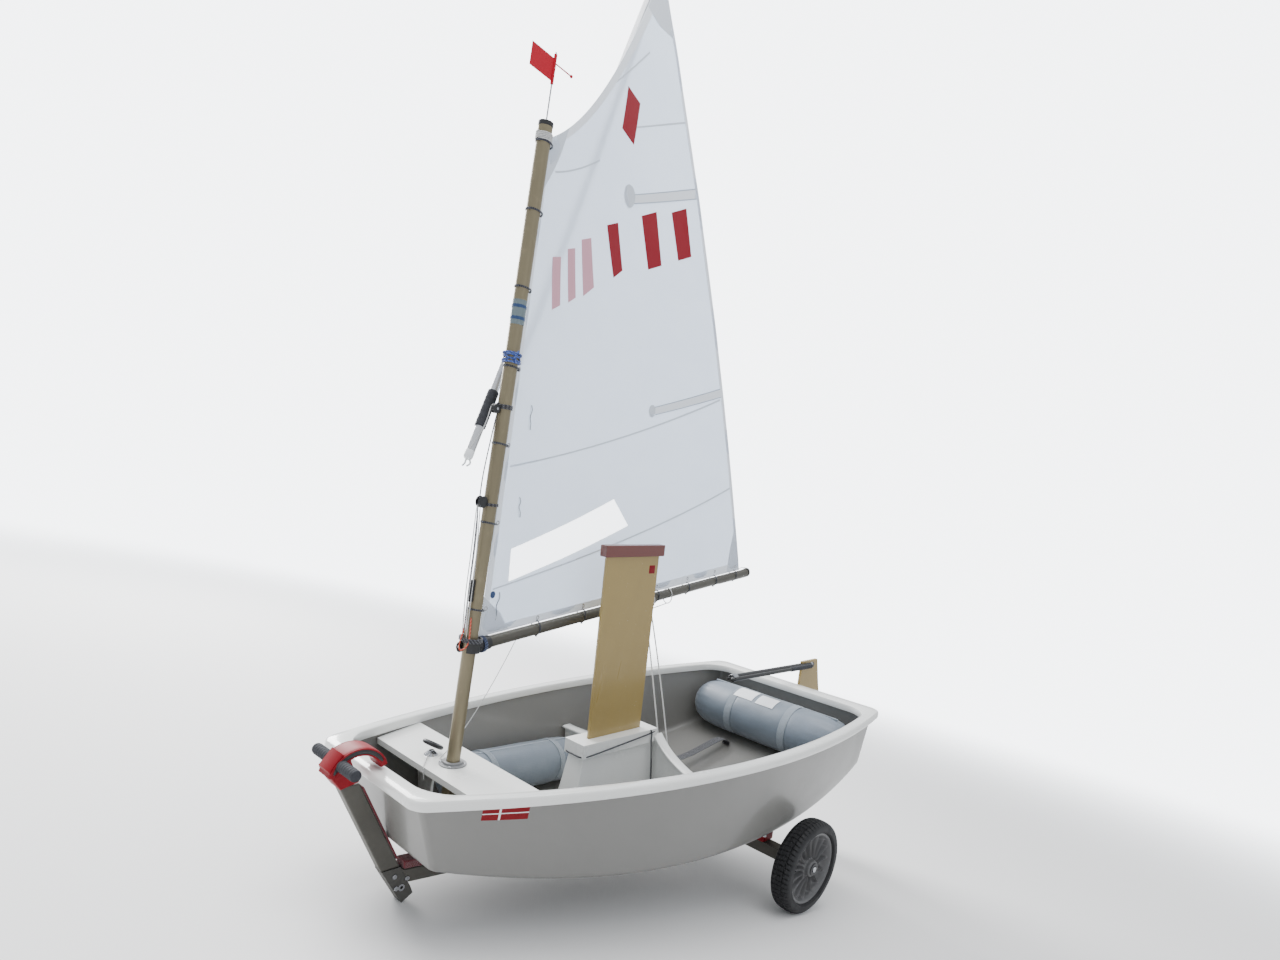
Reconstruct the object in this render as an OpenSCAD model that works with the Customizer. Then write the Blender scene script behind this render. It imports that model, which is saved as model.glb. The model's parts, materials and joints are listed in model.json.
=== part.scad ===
// Single-handed junior sailing dinghy with a sprit rig, parked on its two-wheeled launching dolly.
// Millimetres. The boat lies in its own hull frame: +X to the bow, +Y to port, +Z up, X = 0 at the
// stern transom's top edge and Z = 0 at the baseline. stand() then pitches the boat and its dolly
// together so that both wheels and the dolly's toe stand on the floor at Z = 0.

/* [Hull] */
// Length of the hull skin at the sheer
hull_len = 2300; // [1900:10:2800]
// Half width over the rail at the stern
stern_half = 474; // [400:1:560]
// Half width over the rail amidships
mid_half = 567; // [480:1:680]
// Half width over the rail at the bow
bow_half = 296; // [240:1:360]
// Height of the rail at the stern
stern_rail_z = 380; // [340:1:460]
// Height of the rail amidships
mid_rail_z = 383; // [340:1:460]
// Height of the rail at the bow
bow_rail_z = 425; // [380:1:510]
// Half width at the chine, stern
stern_chine = 421; // [350:1:500]
// Half width at the chine, amidships
mid_chine = 477; // [400:1:570]
// Half width at the chine, bow
bow_chine = 255; // [200:1:310]
// Height of the chine at the stern
stern_chine_z = 108; // [90:1:130]
// Height of the chine amidships
mid_chine_z = -8; // [-20:1:20]
// Height of the chine at the bow
bow_chine_z = 171; // [150:1:200]
// How far the stern transom's foot lies ahead of its top
stern_rake = 16; // [5:1:40]
// How far the bow transom's foot lies behind its top
bow_rake = 65; // [40:1:90]
// Thickness of the hull skin
skin_t = 6; // [4:0.5:8]
// Radius of the chine's turn
chine_r = 28; // [15:1:35]

/* [Rail] */
// Overhang of the rail outside the skin
rail_lip = 30; // [20:1:40]
// Depth of the rail
rail_deep = 32; // [24:1:40]
// Width of the rail along the sides
rail_side = 46; // [40:1:60]
// Width of the rail across the bow
rail_bow = 66; // [50:1:80]
// Width of the rail across the stern
rail_stern = 80; // [60:1:95]
// Radius of the rail's inner corners
rail_corner = 95; // [60:1:110]

/* [Thwart and mast step] */
// Aft edge of the mast thwart
thwart_aft = 1900; // [1860:1:1930]
// Fore and aft width of the thwart
thwart_w = 208; // [180:1:240]
// Top of the thwart below the rail's underside
thwart_drop = 1; // [0.5:0.1:30]
// Thickness of the thwart
thwart_t = 22; // [16:1:30]
// Where the mast's centre line crosses the thwart's top
mast_x = 2013; // [1995:1:2030]
// Thickness of the bulkhead under the thwart
bulkhead_t = 12; // [8:1:18]
// Height of the mast step above the bottom
step_h = 40; // [35:1:60]

/* [Daggerboard] */
// Length of the daggerboard
board_len = 1026; // [900:1:1200]
// Fore and aft width of the daggerboard
board_w = 286; // [238:1:344]
// Thickness of the daggerboard
board_t = 15; // [12:0.5:16]
// Aft edge of the daggerboard
board_aft = 1118; // [1110:1:1125]
// Height of the daggerboard's tip above the baseline, raised
board_tip_z = 32; // [25:1:60]
// Height of the trunk's cap above the baseline
trunk_top_z = 348; // [320:1:370]

/* [Rudder] */
// Distance of the rudder's axis behind the transom's top
rudder_axis = 46; // [44:1:60]
// Radius of the rudder's pins
pin_r = 4; // [3:0.5:5]
// Thickness of the rudder blade
rudder_t = 14; // [10:0.5:18]
// Radius of the tiller
tiller_r = 14; // [12:0.5:16]
// Length of the tiller
tiller_len = 700; // [550:5:800]

/* [Rig] */
// Length of the mast
mast_len = 2242; // [1850:1:2700]
// Radius of the mast
mast_r = 22.5; // [18:0.5:27]
// Rake of the mast aft in the boat, in degrees
mast_rake = 4.755; // [3:0.1:7]
// Height of the boom above the thwart, along the mast
boom_up = 395; // [350:1:420]
// Length from the mast's centre line to the boom's end
boom_len = 2050; // [1950:1:2150]
// Radius of the boom
boom_r = 20; // [16:0.5:22]
// Rise of the boom above square to the mast, in degrees
boom_rise = 7.8; // [5:0.1:9]
// Swing of the boom to starboard as parked, in degrees
boom_swing = 11.18; // [6:0.1:20]
// Radius of the sprit
sprit_r = 14; // [12:0.5:15]
// Thickness of the sailcloth as one solid
cloth_t = 2; // [1.5:0.5:3]

/* [Dolly] */
// Radius of the wheels
wheel_r = 194; // [160:1:220]
// Width of the tyres
tyre_w = 88; // [70:1:100]
// Outer face of the wheels from the centre line
wheel_out = 620; // [600:1:700]
// Position of the axle along the hull
axle_x = 655; // [600:1:720]
// Height of the axle in the hull frame
axle_z = -143.5; // [-160:0.5:-140]
// Radius of the axle stubs
stub_r = 12; // [10:0.5:16]
// Side of the square axle beam and spine
tube = 50; // [40:1:55]
// Half length of the handle bar
bar_half = 120; // [100:1:160]
// Radius of the handle's foam grips
grip_r = 17.5; // [15:0.5:18]
// Radius of the hole in the dolly's foot
foot_hole_r = 5; // [4:0.5:6]

/* [Hidden] */
$fn = 48;
touch = 0.3;        // gap left between a curved face and what rests on it
seam = 0.05;        // hairline left where two faces follow the same curve
bearing = 0.1;      // running gap of a turning fit
stations = 24;      // stretches along the hull
chine_steps = 3;    // stretches round the chine's turn

// ---- curves of the hull -------------------------------------------------------------------

// Parabola through three stations (xa, a), (xb, b) and (xc, c)
function parabola(x, xa, a, xb, b, xc, c) =
    a * (x - xb) * (x - xc) / ((xa - xb) * (xa - xc))
    + b * (x - xa) * (x - xc) / ((xb - xa) * (xb - xc))
    + c * (x - xa) * (x - xb) / ((xc - xa) * (xc - xb));
function mix(a, b, t) = a + (b - a) * t;
mid_x = hull_len / 2;
function rail_y(x) = parabola(x, 0, stern_half, mid_x, mid_half, hull_len, bow_half);
function rail_z(x) = parabola(x, 0, stern_rail_z, mid_x, mid_rail_z, hull_len, bow_rail_z);
function rail_under(x) = rail_z(x) - rail_deep;
chine_bow_x = hull_len - bow_rake;
function chine_y(x) = parabola(x, stern_rake, stern_chine, mid_x, mid_chine, chine_bow_x, bow_chine);
function chine_z(x) =
    parabola(x, stern_rake, stern_chine_z, mid_x, mid_chine_z, chine_bow_x, bow_chine_z);
function floor_z(x) = chine_z(x) + skin_t;
function floor_slope(x) = (chine_z(x + 1) - chine_z(x - 1)) / 2;
// Inner half width of the hull at station x and height z
function inner_y(x, z) = mix(chine_y(x), rail_y(x) - rail_lip,
    (z - floor_z(x)) / (rail_under(x) - floor_z(x))) - skin_t;

// Levels of the section, from the sheer down and round the chine: [height share, inset]
turn_share = chine_r / (mid_rail_z - rail_deep - mid_chine_z);
levels = concat([[1, 0]],
    [for (i = [0:chine_steps]) let (t = i / chine_steps) [pow(1 - t, 2) * turn_share, pow(t, 2) * chine_r]]);
function section(x, level, wall) = [x,
    mix(chine_y(x), rail_y(x) - rail_lip, level[0]) - level[1] - wall,
    mix(chine_z(x), rail_under(x), level[0]) + wall * (1 - level[0])];
// One closed ring round the hull: the port side from stern to bow, then the starboard side back
function ring(level, wall) =
    let (aft = stern_rake * (1 - level[0]) + wall,
        fore = hull_len - bow_rake * (1 - level[0]) - wall,
        port = [for (i = [0:stations]) section(mix(aft, fore, i / stations), level, wall)])
    concat(port, [for (i = [stations:-1:0]) [port[i][0], -port[i][1], port[i][2]]]);

// Corner c between points a and b, rounded with radius r
function round_corner(a, c, b, r, steps = 6) =
    let (u = (a - c) / norm(a - c), v = (b - c) / norm(b - c),
        half = acos(u * v) / 2, reach = r / tan(half),
        centre = c + (u + v) / norm(u + v) * r / sin(half),
        p = c + u * reach - centre, q = c + v * reach - centre,
        sweep = acos((p * q) / (norm(p) * norm(q))),
        side = sign(p[0] * q[1] - p[1] * q[0]))
    [for (i = [0:steps]) let (w = side * sweep * i / steps)
        centre + [p[0] * cos(w) - p[1] * sin(w), p[0] * sin(w) + p[1] * cos(w)]];

// Plan outline of the rail, inset from its outer edge, with its four corners rounded
function rail_plan(aft, fore, inset, corner) =
    let (first = [aft, rail_y(aft) - inset], last = [fore, rail_y(fore) - inset], run = corner * 1.6,
        side = [for (i = [0:14]) let (x = mix(aft + run, fore - run, i / 14)) [x, rail_y(x) - inset]],
        port = concat(round_corner([aft, 0], first, side[0], corner), side,
            round_corner(side[14], last, [fore, 0], corner)))
    concat(port, [for (i = [len(port) - 1:-1:0]) [port[i][0], -port[i][1]]]);

// ---- places -------------------------------------------------------------------------------

thwart_fore = thwart_aft + thwart_w;
thwart_z = rail_under(thwart_aft) - thwart_drop;
heel_up = 24;                                           // mast's heel below the step's top
step_x = mast_x + (thwart_z - floor_z(mast_x)) * tan(mast_rake);
step_top = floor_z(step_x) + step_h;
heel_down = (thwart_z - step_top + heel_up) / cos(mast_rake); // heel below the thwart, along the mast
trunk_gap = 0.4;                                        // daggerboard's fit in the trunk's cap
trunk_aft = board_aft - 56;
board_fore = board_aft + board_w;
trunk_fore = board_fore + 66;
cap_h = 56;
slot_room = [16, 7];                                    // extra length and width of the board's slot
frame_t = 18;
frame_x = trunk_aft - 20;                               // aft face of the midship frame
board_top_z = board_tip_z + board_len;
blade_fore = -rudder_axis - 15;
head_z = stern_rail_z + 110;                            // top of the rudder
tiller_heel = -165;
tiller_z = stern_rail_z + 85;
tiller_tilt = 1.1;

// Line of the dolly's spine: tangent to the bottom, with its pad just clear of it
pad_touch_x = 1450;
pad_t = 30;
spine_slope = floor_slope(pad_touch_x);
function pad_line(x) = chine_z(pad_touch_x) - 0.5 + spine_slope * (x - pad_touch_x);
function spine_top(x) = pad_line(x) - pad_t;
// Dolly's foot under the bow: where it meets the spine, its toe, and the hole between them
foot_z = spine_top(hull_len - 143);
foot_join = [hull_len - 143, foot_z - 64];
tip_x = hull_len - 113;
tip_z = foot_z - 113;
foot_hole = [hull_len - 110, foot_z - 58];
// Line of the post's aft face, from the foot up past the bow
post_foot = [hull_len - 102, foot_z + 15];
post_head = [hull_len + 51, bow_rail_z - 37];
post_lean = atan((post_head[0] - post_foot[0]) / (post_head[1] - post_foot[1]));
post_w = 58;
function post_aft(z) = post_foot[0] + (z - post_foot[1]) * tan(post_lean);
post_run = post_w / cos(post_lean);
function foot_aft(z) = mix(foot_join[0], post_foot[0], (z - foot_join[1]) / (post_foot[1] - foot_join[1]));
bar_x = hull_len + 120;
bar_z = bow_rail_z + 38;
bar_r = 12.5;
grip_in = 36;                                           // grips' inner ends from the centre line

// Pitch that sets both wheels and the toe on the floor
toe_run = tip_x - axle_x;
toe_drop = tip_z - axle_z;
pitch = asin(wheel_r / norm([toe_run, toe_drop])) + atan2(toe_drop, toe_run);
rise = tip_x * sin(pitch) - tip_z * cos(pitch);
// Middle of the whole boat, between the rudder's trailing edge and the handle's hook
blade_heel = [-318, -140];                              // hindmost corner of the rudder blade
hook_r = 118;
hook_w = 72;
hook_centre = [hull_len + 65, bow_rail_z - 15];
rear_most = blade_heel[0] * cos(pitch) + blade_heel[1] * sin(pitch);
fore_most = hook_centre[0] * cos(pitch) + hook_centre[1] * sin(pitch) + hook_r;
centre_x = (rear_most + fore_most) / 2;

module stand() translate([-centre_x, 0, rise]) rotate([0, pitch, 0]) children();
// Frame along the mast: origin where it crosses the thwart's top, +Z up the mast
module mast_frame() translate([mast_x, 0, thwart_z]) rotate([0, -mast_rake, 0]) children();
// Frame that swings with the boom: the boom lies over -X
module rig_frame() stand() mast_frame() rotate([0, 0, boom_swing]) children();
// Frame of the boom: origin on the mast's centre line, +Z along the boom
module boom_frame() translate([0, 0, boom_up]) rotate([0, -90 + boom_rise, 0]) children();

// ---- plain shapes --------------------------------------------------------------------------

module centred(size, at) translate([at[0] - size[0] / 2, at[1] - size[1] / 2, at[2]]) cube(size);
// Outline in the X-Z plane, as thick as t across the middle
module side_plate(points, t) rotate([90, 0, 0]) translate([0, 0, -t / 2]) linear_extrude(t) polygon(points);
// Outline in the Y-Z plane, from x forward by t
module cross_plate(points, x, t)
    translate([x, 0, 0]) rotate([90, 0, 90]) linear_extrude(t) polygon(points);
// Round bar from point a to point b
module bar(a, b, r) {
    d = b - a;
    translate(a) rotate([0, acos(d[2] / norm(d)), atan2(d[1], d[0])]) cylinder(r = r, h = norm(d));
}
module loop(r, wire) rotate_extrude() translate([r, 0]) circle(r = wire, $fn = 16);

// ---- hull ----------------------------------------------------------------------------------

// Space that the daggerboard passes through, from z up by h
module board_slot(z, h)
    centred([board_w + slot_room[0], board_t + slot_room[1], h], [board_aft + board_w / 2, 0, z]);

module hull_shell() color([0.52, 0.51, 0.48]) stand() difference() {
    n = len(levels);
    m = 2 * (stations + 1);
    points = concat([for (k = [0:n - 1]) each ring(levels[k], 0)],
        [for (k = [n - 1:-1:0]) each ring(levels[k], skin_t)]);
    bands = [for (r = [0:2 * n - 1]) if (r != n - 1) let (s = (r + 1) % (2 * n))
        each [for (i = [0:m - 1]) let (j = (i + 1) % m) [r * m + i, s * m + i, s * m + j, r * m + j]]];
    outer_bottom = [for (i = [0:stations - 1]) let (o = (n - 1) * m)
        [o + i, o + m - 1 - i, o + m - 2 - i, o + i + 1]];
    inner_bottom = [for (i = [0:stations - 1]) let (o = n * m)
        [o + i, o + i + 1, o + m - 2 - i, o + m - 1 - i]];
    polyhedron(points, concat(bands, outer_bottom, inner_bottom), convexity = 6);
    board_slot(-100, 200);
}

module rail() color("white") stand() intersection() {
    translate([0, 0, stern_rail_z - 150]) linear_extrude(300) difference() {
        polygon(rail_plan(-rail_lip, hull_len + rail_lip, 0, 32));
        polygon(rail_plan(rail_stern - rail_lip, hull_len + rail_lip - rail_bow, rail_side, rail_corner));
    }
    side_plate(concat(
        [for (i = [-1:stations + 1]) let (x = i * hull_len / stations) [x, rail_z(x)]],
        [for (i = [stations + 1:-1:-1]) let (x = i * hull_len / stations) [x, rail_under(x) + seam]]), 2000);
}

module mast_thwart() color("white") stand() difference() {
    low = thwart_z - thwart_t;
    span = [for (i = [0:4]) let (x = mix(thwart_aft, thwart_fore, i / 4)) [x, inner_y(x, low) - 0.5]];
    translate([0, 0, low]) linear_extrude(thwart_t)
        polygon(concat(span, [for (i = [4:-1:0]) [span[i][0], -span[i][1]]]));
    mast_frame() translate([0, 0, -80]) cylinder(r = mast_r + 3, h = 160);
}

// Points of an arch's round top, from one foot to the other
function arch(y, z, w, h) = [for (i = [0:12]) [y + w * cos(15 * i), z + h * sin(15 * i)]];

module mast_bulkhead() color("white") stand() difference() {
    fore = thwart_aft + 4 + bulkhead_t;
    foot = floor_z(fore) + 2 * touch;
    half = [[inner_y(fore, foot + chine_r) - chine_r - 2, foot],
        [inner_y(fore, foot + chine_r) - 1, foot + chine_r],
        [inner_y(fore, thwart_z - thwart_t) - 1, thwart_z - thwart_t]];
    cross_plate(concat([for (p = half) p], [for (i = [2:-1:0]) [-half[i][0], half[i][1]]]),
        thwart_aft + 4, bulkhead_t);
    for (side = [-1, 1]) translate([0, side * half[0][0] * 0.52, 0])
        cross_plate(arch(0, foot + 45, half[0][0] * 0.32, 150), thwart_aft, 40);
}

module mast_collar() color([0.55, 0.55, 0.56]) stand() difference() {
    translate([mast_x, 0, thwart_z]) {
        cylinder(r = 46, h = 4);
        cylinder(r = 34, h = 12);
    }
    mast_frame() translate([0, 0, -60]) cylinder(r = mast_r + bearing, h = 120);
}

module mast_step() color("white") stand() difference() {
    half = 62;
    side_plate([[step_x - half, floor_z(step_x - half) + touch],
        [step_x + half, floor_z(step_x + half) + touch],
        [step_x + half, step_top], [step_x - half, step_top]], 110);
    mast_frame() translate([0, 0, -heel_down - 0.3]) cylinder(r = mast_r + bearing, h = 120);
}

module board_trunk() color("white") stand() difference() {
    union() {
        // cap that stands proud of the trunk all round
        centred([trunk_fore - trunk_aft, 108, cap_h], [(trunk_aft + trunk_fore) / 2, 0, trunk_top_z - cap_h]);
        // tapered body, wider at its foot, following the bottom
        intersection() {
            fore = trunk_fore + 30;
            side_plate(concat([[trunk_aft + 14, trunk_top_z - cap_h], [trunk_fore - 14, trunk_top_z - cap_h],
                [fore, floor_z(fore) + 20]],
                [for (i = [6:-1:0]) let (x = mix(trunk_aft + 14, fore, i / 6)) [x, floor_z(x) + touch]]),
                200);
            cross_plate([[-40, trunk_top_z - cap_h], [40, trunk_top_z - cap_h], [68, -60], [-68, -60]],
                trunk_aft, trunk_fore - trunk_aft + 60);
        }
    }
    translate([board_aft - trunk_gap, -board_t / 2 - trunk_gap, -60])
        cube([board_w + 2 * trunk_gap, board_t + 2 * trunk_gap, 600]);
    board_slot(-60, 40 + trunk_top_z - cap_h);
}

module midship_frame() color("white") stand() difference() {
    fore = frame_x + frame_t;
    foot = floor_z(fore) + 2 * touch;
    edge = inner_y(fore, foot + chine_r) - 1.5;
    arm_z = 178;
    rim = inner_y(fore, arm_z) - 1.5;
    top = [for (i = [0:8]) let (t = i / 8) [mix(rim, 46, t), arm_z + 110 * pow(t, 2.4)]];
    half = concat([[edge - chine_r - 2, foot], [edge, foot + chine_r]], top);
    n = len(half) - 1;
    cross_plate(concat(half, [for (i = [n:-1:0]) [-half[i][0], half[i][1]]]), frame_x, frame_t - touch);
    for (side = [-1, 1])
        cross_plate(arch(side * edge * 0.56, foot + 14, edge * 0.335, 100), frame_x - 10, 40);
}

// Air bag: a round-ended roll from a to b
module air_bag(a, b, r) {
    d = b - a;
    translate(a) rotate([0, acos(d[2] / norm(d)), atan2(d[1], d[0])]) rotate_extrude($fn = 64)
        intersection() {
            union() {
                circle(r = r);
                square([r, norm(d)]);
                translate([0, norm(d)]) circle(r = r);
            }
            translate([0, -r]) square([r, norm(d) + 2 * r]);
        }
}
bag_r = 122;
stern_bag_x = 158;
stern_bag_z = floor_z(stern_bag_x) + bag_r / cos(atan(floor_slope(stern_bag_x))) + 2 * touch;
module stern_bag() color([0.45, 0.49, 0.53]) stand() {
    reach = inner_y(stern_bag_x + 60, stern_bag_z - 60) - bag_r - 12;
    air_bag([stern_bag_x, -reach, stern_bag_z], [stern_bag_x, reach, stern_bag_z], bag_r);
}
side_bag_r = 95;
function side_bag_end(x, side) = [x, side * (inner_y(x, floor_z(x) + 60) - side_bag_r - 8),
    floor_z(x) + side_bag_r / cos(atan(floor_slope(x))) + 2 * touch];
module side_bag(side) color([0.45, 0.49, 0.53]) stand()
    air_bag(side_bag_end(frame_x + frame_t + 118, side), side_bag_end(thwart_aft - 125, side), side_bag_r);
module port_bag() side_bag(1);
module starboard_bag() side_bag(-1);

block_x = 900;
block_foot_z = max(floor_z(block_x - 35), floor_z(block_x + 35)) + touch;
module sheet_block() color([0.12, 0.12, 0.13]) stand() translate([block_x, 0, block_foot_z]) {
    centred([70, 40, 8], [0, 0, 0]);
    centred([16, 26, 24], [0, 0, 8]);
    translate([0, 0, 56]) rotate([90, 0, 0]) {
        for (s = [-1, 1]) translate([0, 0, s * 11 - 2]) cylinder(r = 28, h = 4);
        translate([0, 0, -9]) cylinder(r = 23, h = 18);
    }
}

// ---- rudder --------------------------------------------------------------------------------

eye_zs = [stern_chine_z + 42, stern_rail_z - 90];
eye_h = 14;
function transom_x(z) = stern_rake * (rail_under(0) - z) / (rail_under(0) - stern_chine_z);
module rudder_gudgeons() color("silver") stand() for (z = eye_zs) difference() {
    union() {
        translate([-rudder_axis, 0, z]) cylinder(r = pin_r + 4.5, h = eye_h);
        side_plate([[-rudder_axis, z], [transom_x(z) - 3, z], [transom_x(z + eye_h) - 3, z + eye_h],
            [-rudder_axis, z + eye_h]], 8);
        side_plate([[transom_x(z - 10) - 4, z - 10], [transom_x(z - 10) - touch, z - 10],
            [transom_x(z + 24) - touch, z + 24], [transom_x(z + 24) - 4, z + 24]], 60);
    }
    translate([-rudder_axis, 0, z - 1]) cylinder(r = pin_r + 0.05, h = eye_h + 2);
}

module rudder_blade() color([0.66, 0.55, 0.34]) stand() difference() {
    tip = [[-100, -330], [-150, -352], [-215, -350], [-275, -300]];
    side_plate(concat([[blade_fore, head_z], [blade_fore, -250]], tip,
        [blade_heel, [-330, 0], [-318, 120], [-285, 240], [-242, 360], [-200, head_z]]), rudder_t);
    tiller_frame() translate([0, 0, -touch]) cylinder(r = tiller_r + touch, h = 200);
}

module tiller_frame() translate([tiller_heel, 0, tiller_z]) rotate([0, 90 - tiller_tilt, 0]) children();
module tiller() color([0.1, 0.1, 0.11]) stand() tiller_frame() cylinder(r = tiller_r, h = tiller_len);

module rudder_pintles() color("silver") stand() for (z = eye_zs) {
    hub_z = z + eye_h + touch;
    translate([-rudder_axis, 0, z - 8]) cylinder(r = pin_r, h = eye_h + 18);
    difference() {
        union() {
            translate([-rudder_axis, 0, hub_z]) cylinder(r = pin_r + 3.5, h = 16);
            centred([108, rudder_t + 5, 16], [blade_fore - 42, 0, hub_z]);
        }
        centred([140, rudder_t, 20], [blade_fore - 70, 0, hub_z - 2]);
    }
}

module tiller_extension() color([0.1, 0.1, 0.11]) stand() tiller_frame() {
    translate([0, tiller_r + 11, 40]) cylinder(r = 9, h = tiller_len - 40);
    translate([0, tiller_r + 11, tiller_len + 10]) sphere(r = 11);
    translate([-6, 0, tiller_len]) cube([12, tiller_r + 11, 20]);
}

// ---- daggerboard ---------------------------------------------------------------------------

module daggerboard() color([0.68, 0.57, 0.35]) stand()
    side_plate(concat([[board_aft, board_top_z]],
        round_corner([board_aft, board_top_z], [board_aft, board_tip_z], [board_fore, board_tip_z], 30),
        round_corner([board_aft, board_tip_z], [board_fore, board_tip_z], [board_fore, board_top_z], 30),
        [[board_fore, board_top_z]]), board_t);

module board_handle() color([0.47, 0.23, 0.19]) stand() difference() {
    centred([board_w + 32, board_t + 22, 44], [board_aft + board_w / 2, 0, board_top_z - 6]);
    centred([board_w, board_t, 20], [board_aft + board_w / 2, 0, board_top_z - 20]);
}

// ---- rig -----------------------------------------------------------------------------------

mast_top = mast_len - heel_down;
module mast() color([0.55, 0.5, 0.39]) rig_frame()
    translate([0, 0, -heel_down]) cylinder(r = mast_r, h = mast_len);
plug_h = 14;
module mast_plug() color([0.3, 0.28, 0.24]) rig_frame()
    translate([0, 0, mast_top]) cylinder(r = mast_r + 1, h = plug_h);
boom_fore = mast_r + 26;
module boom() color([0.43, 0.41, 0.35]) rig_frame() boom_frame()
    translate([0, 0, boom_fore]) cylinder(r = boom_r, h = boom_len - boom_fore);
module boom_jaws() color([0.16, 0.16, 0.17]) rig_frame() difference() {
    union() {
        translate([0, 0, boom_up - 16]) cylinder(r = mast_r + 12, h = 32);
        boom_frame() translate([0, 0, mast_r]) cylinder(r = boom_r + 4, h = 60);
    }
    translate([0, 0, boom_up - 60]) cylinder(r = mast_r + touch, h = 120);
    boom_frame() translate([0, 0, boom_fore]) cylinder(r = boom_r, h = 100);
    translate([mast_r * 0.6, -mast_r * 0.72, boom_up - 30]) cube([60, mast_r * 1.44, 60]);
}
module boom_cap() color([0.16, 0.16, 0.17]) rig_frame() boom_frame() translate([0, 0, boom_len]) {
    cylinder(r = boom_r + 3, h = 12);
    translate([0, 0, 12]) cylinder(r = 11, h = 16);
}

// Sail, as edges in the rig's frame
foot_gap = boom_r + 5;                                  // foot of the sail above the boom's centre line
function foot_z(x) = boom_up - x * tan(boom_rise) + foot_gap / cos(boom_rise);
tack_x = -mast_r - 13;
clew_x = -boom_len + 105;
tack = [tack_x, 0, foot_z(tack_x)];
throat = [-mast_r - 5.5, 0, mast_top - 18];
peak = [-748, -206, mast_top + 941];
clew = [clew_x, 0, foot_z(clew_x)];
leech_pull = mix(clew, peak, 0.528) - [168, 5, 0];         // roach of the leech
head_pull = mix(throat, peak, 0.517) - [0, -3, 266];       // hollow of the head
belly = 36;
function curve(a, q, b, t) = pow(1 - t, 2) * a + 2 * t * (1 - t) * q + t * t * b;
// Point of the sail: s from luff to leech, t from foot to head
function sail_point(s, t) =
    let (luff = mix(tack, throat, t), leech = curve(clew, leech_pull, peak, t),
        foot = mix(tack, clew, s), head = curve(throat, head_pull, peak, s))
    (1 - s) * luff + s * leech + (1 - t) * foot + t * head
        - ((1 - s) * (1 - t) * tack + s * (1 - t) * clew + (1 - s) * t * throat + s * t * peak)
        - [0, belly * sin(180 * s) * sin(180 * t), 0];
module sail() color([0.93, 0.94, 0.96]) rig_frame() {
    across = 16;
    up = 20;
    n = across + 1;
    sheet = [for (j = [0:up]) for (i = [0:across]) sail_point(i / across, j / up)];
    points = concat([for (p = sheet) p + [0, cloth_t / 2, 0]], [for (p = sheet) p - [0, cloth_t / 2, 0]]);
    back = len(sheet);
    port = [for (j = [0:up - 1]) for (i = [0:across - 1]) let (a = j * n + i)
        each [[a, a + 1, a + n + 1], [a, a + n + 1, a + n]]];
    starboard = [for (f = port) [back + f[2], back + f[1], back + f[0]]];
    edge = concat([for (i = [0:across - 1]) i], [for (j = [0:up - 1]) j * n + across],
        [for (i = [across:-1:1]) up * n + i], [for (j = [up:-1:1]) j * n]);
    rim = [for (i = [0:len(edge) - 1]) let (a = edge[i], b = edge[(i + 1) % len(edge)])
        each [[a, back + a, back + b], [a, back + b, b]]];
    polyhedron(points, concat(port, starboard, rim), convexity = 4);
}

tie_ups = [for (share = [0.06, 0.24, 0.4, 0.553, 0.707, 0.854, 0.982]) mix(tack[2], throat[2], share)];
module luff_ties() color([0.2, 0.22, 0.26]) rig_frame() for (z = tie_ups)
    translate([0, 0, z]) loop(mast_r + 2.4, 2);
tie_outs = [for (share = [0.161, 0.293, 0.424, 0.556, 0.688, 0.82, 0.927]) share * boom_len];
module foot_ties() color([0.2, 0.22, 0.26]) rig_frame() for (x = tie_outs)
    boom_frame() translate([0, 0, x]) loop(boom_r + 2.4, 2);

sprit_low = [96, -mast_r - 8.5, mast_top * 0.496];
sprit_high = peak - [0, sprit_r + 1, 0];
sprit_way = (sprit_high - sprit_low) / norm(sprit_high - sprit_low);
module sprit() color("silver") rig_frame() bar(sprit_low, sprit_high - 20 * sprit_way, sprit_r);
module sprit_grip() color([0.1, 0.1, 0.11]) rig_frame() difference() {
    bar(sprit_low + 105 * sprit_way, sprit_low + 235 * sprit_way, sprit_r + 3);
    bar(sprit_low, sprit_low + 400 * sprit_way, sprit_r);
}

module sprit_tackle() color([0.12, 0.12, 0.13]) rig_frame() {
    for (share = [0.5755, 0.4285]) translate([mast_r + 17, 0, share * mast_top]) rotate([90, 0, 0]) {
        translate([0, 0, -8]) cylinder(r = 15, h = 16);
        translate([-17, -4, -3]) cube([14, 8, 6]);
    }
    translate([mast_r + touch, -7, boom_up + 150]) cube([14, 14, 70]);
}

stem_r = 2.5;
stem_h = 200;
vane_drop = 90;                                         // vane's foot below the stem's top
module vane_stem() color("silver") rig_frame()
    translate([0, 0, mast_top + plug_h]) cylinder(r = stem_r, h = stem_h);
module wind_vane() color([0.78, 0.12, 0.18]) rig_frame()
    translate([0, 0, mast_top + plug_h + stem_h - vane_drop]) rotate([0, 0, -3]) difference() {
        union() {
            cylinder(r = 5, h = vane_drop - 6);
            translate([2, -0.75, 7]) cube([98, 1.5, 64]);
            rotate([0, -90, 0]) translate([60, 0, 3]) cylinder(r = 2, h = 75);
            translate([-78, 0, 60]) sphere(r = 5);
        }
        translate([0, 0, -1]) cylinder(r = stem_r + bearing, h = vane_drop + 2);
    }

// ---- dolly ---------------------------------------------------------------------------------

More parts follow.
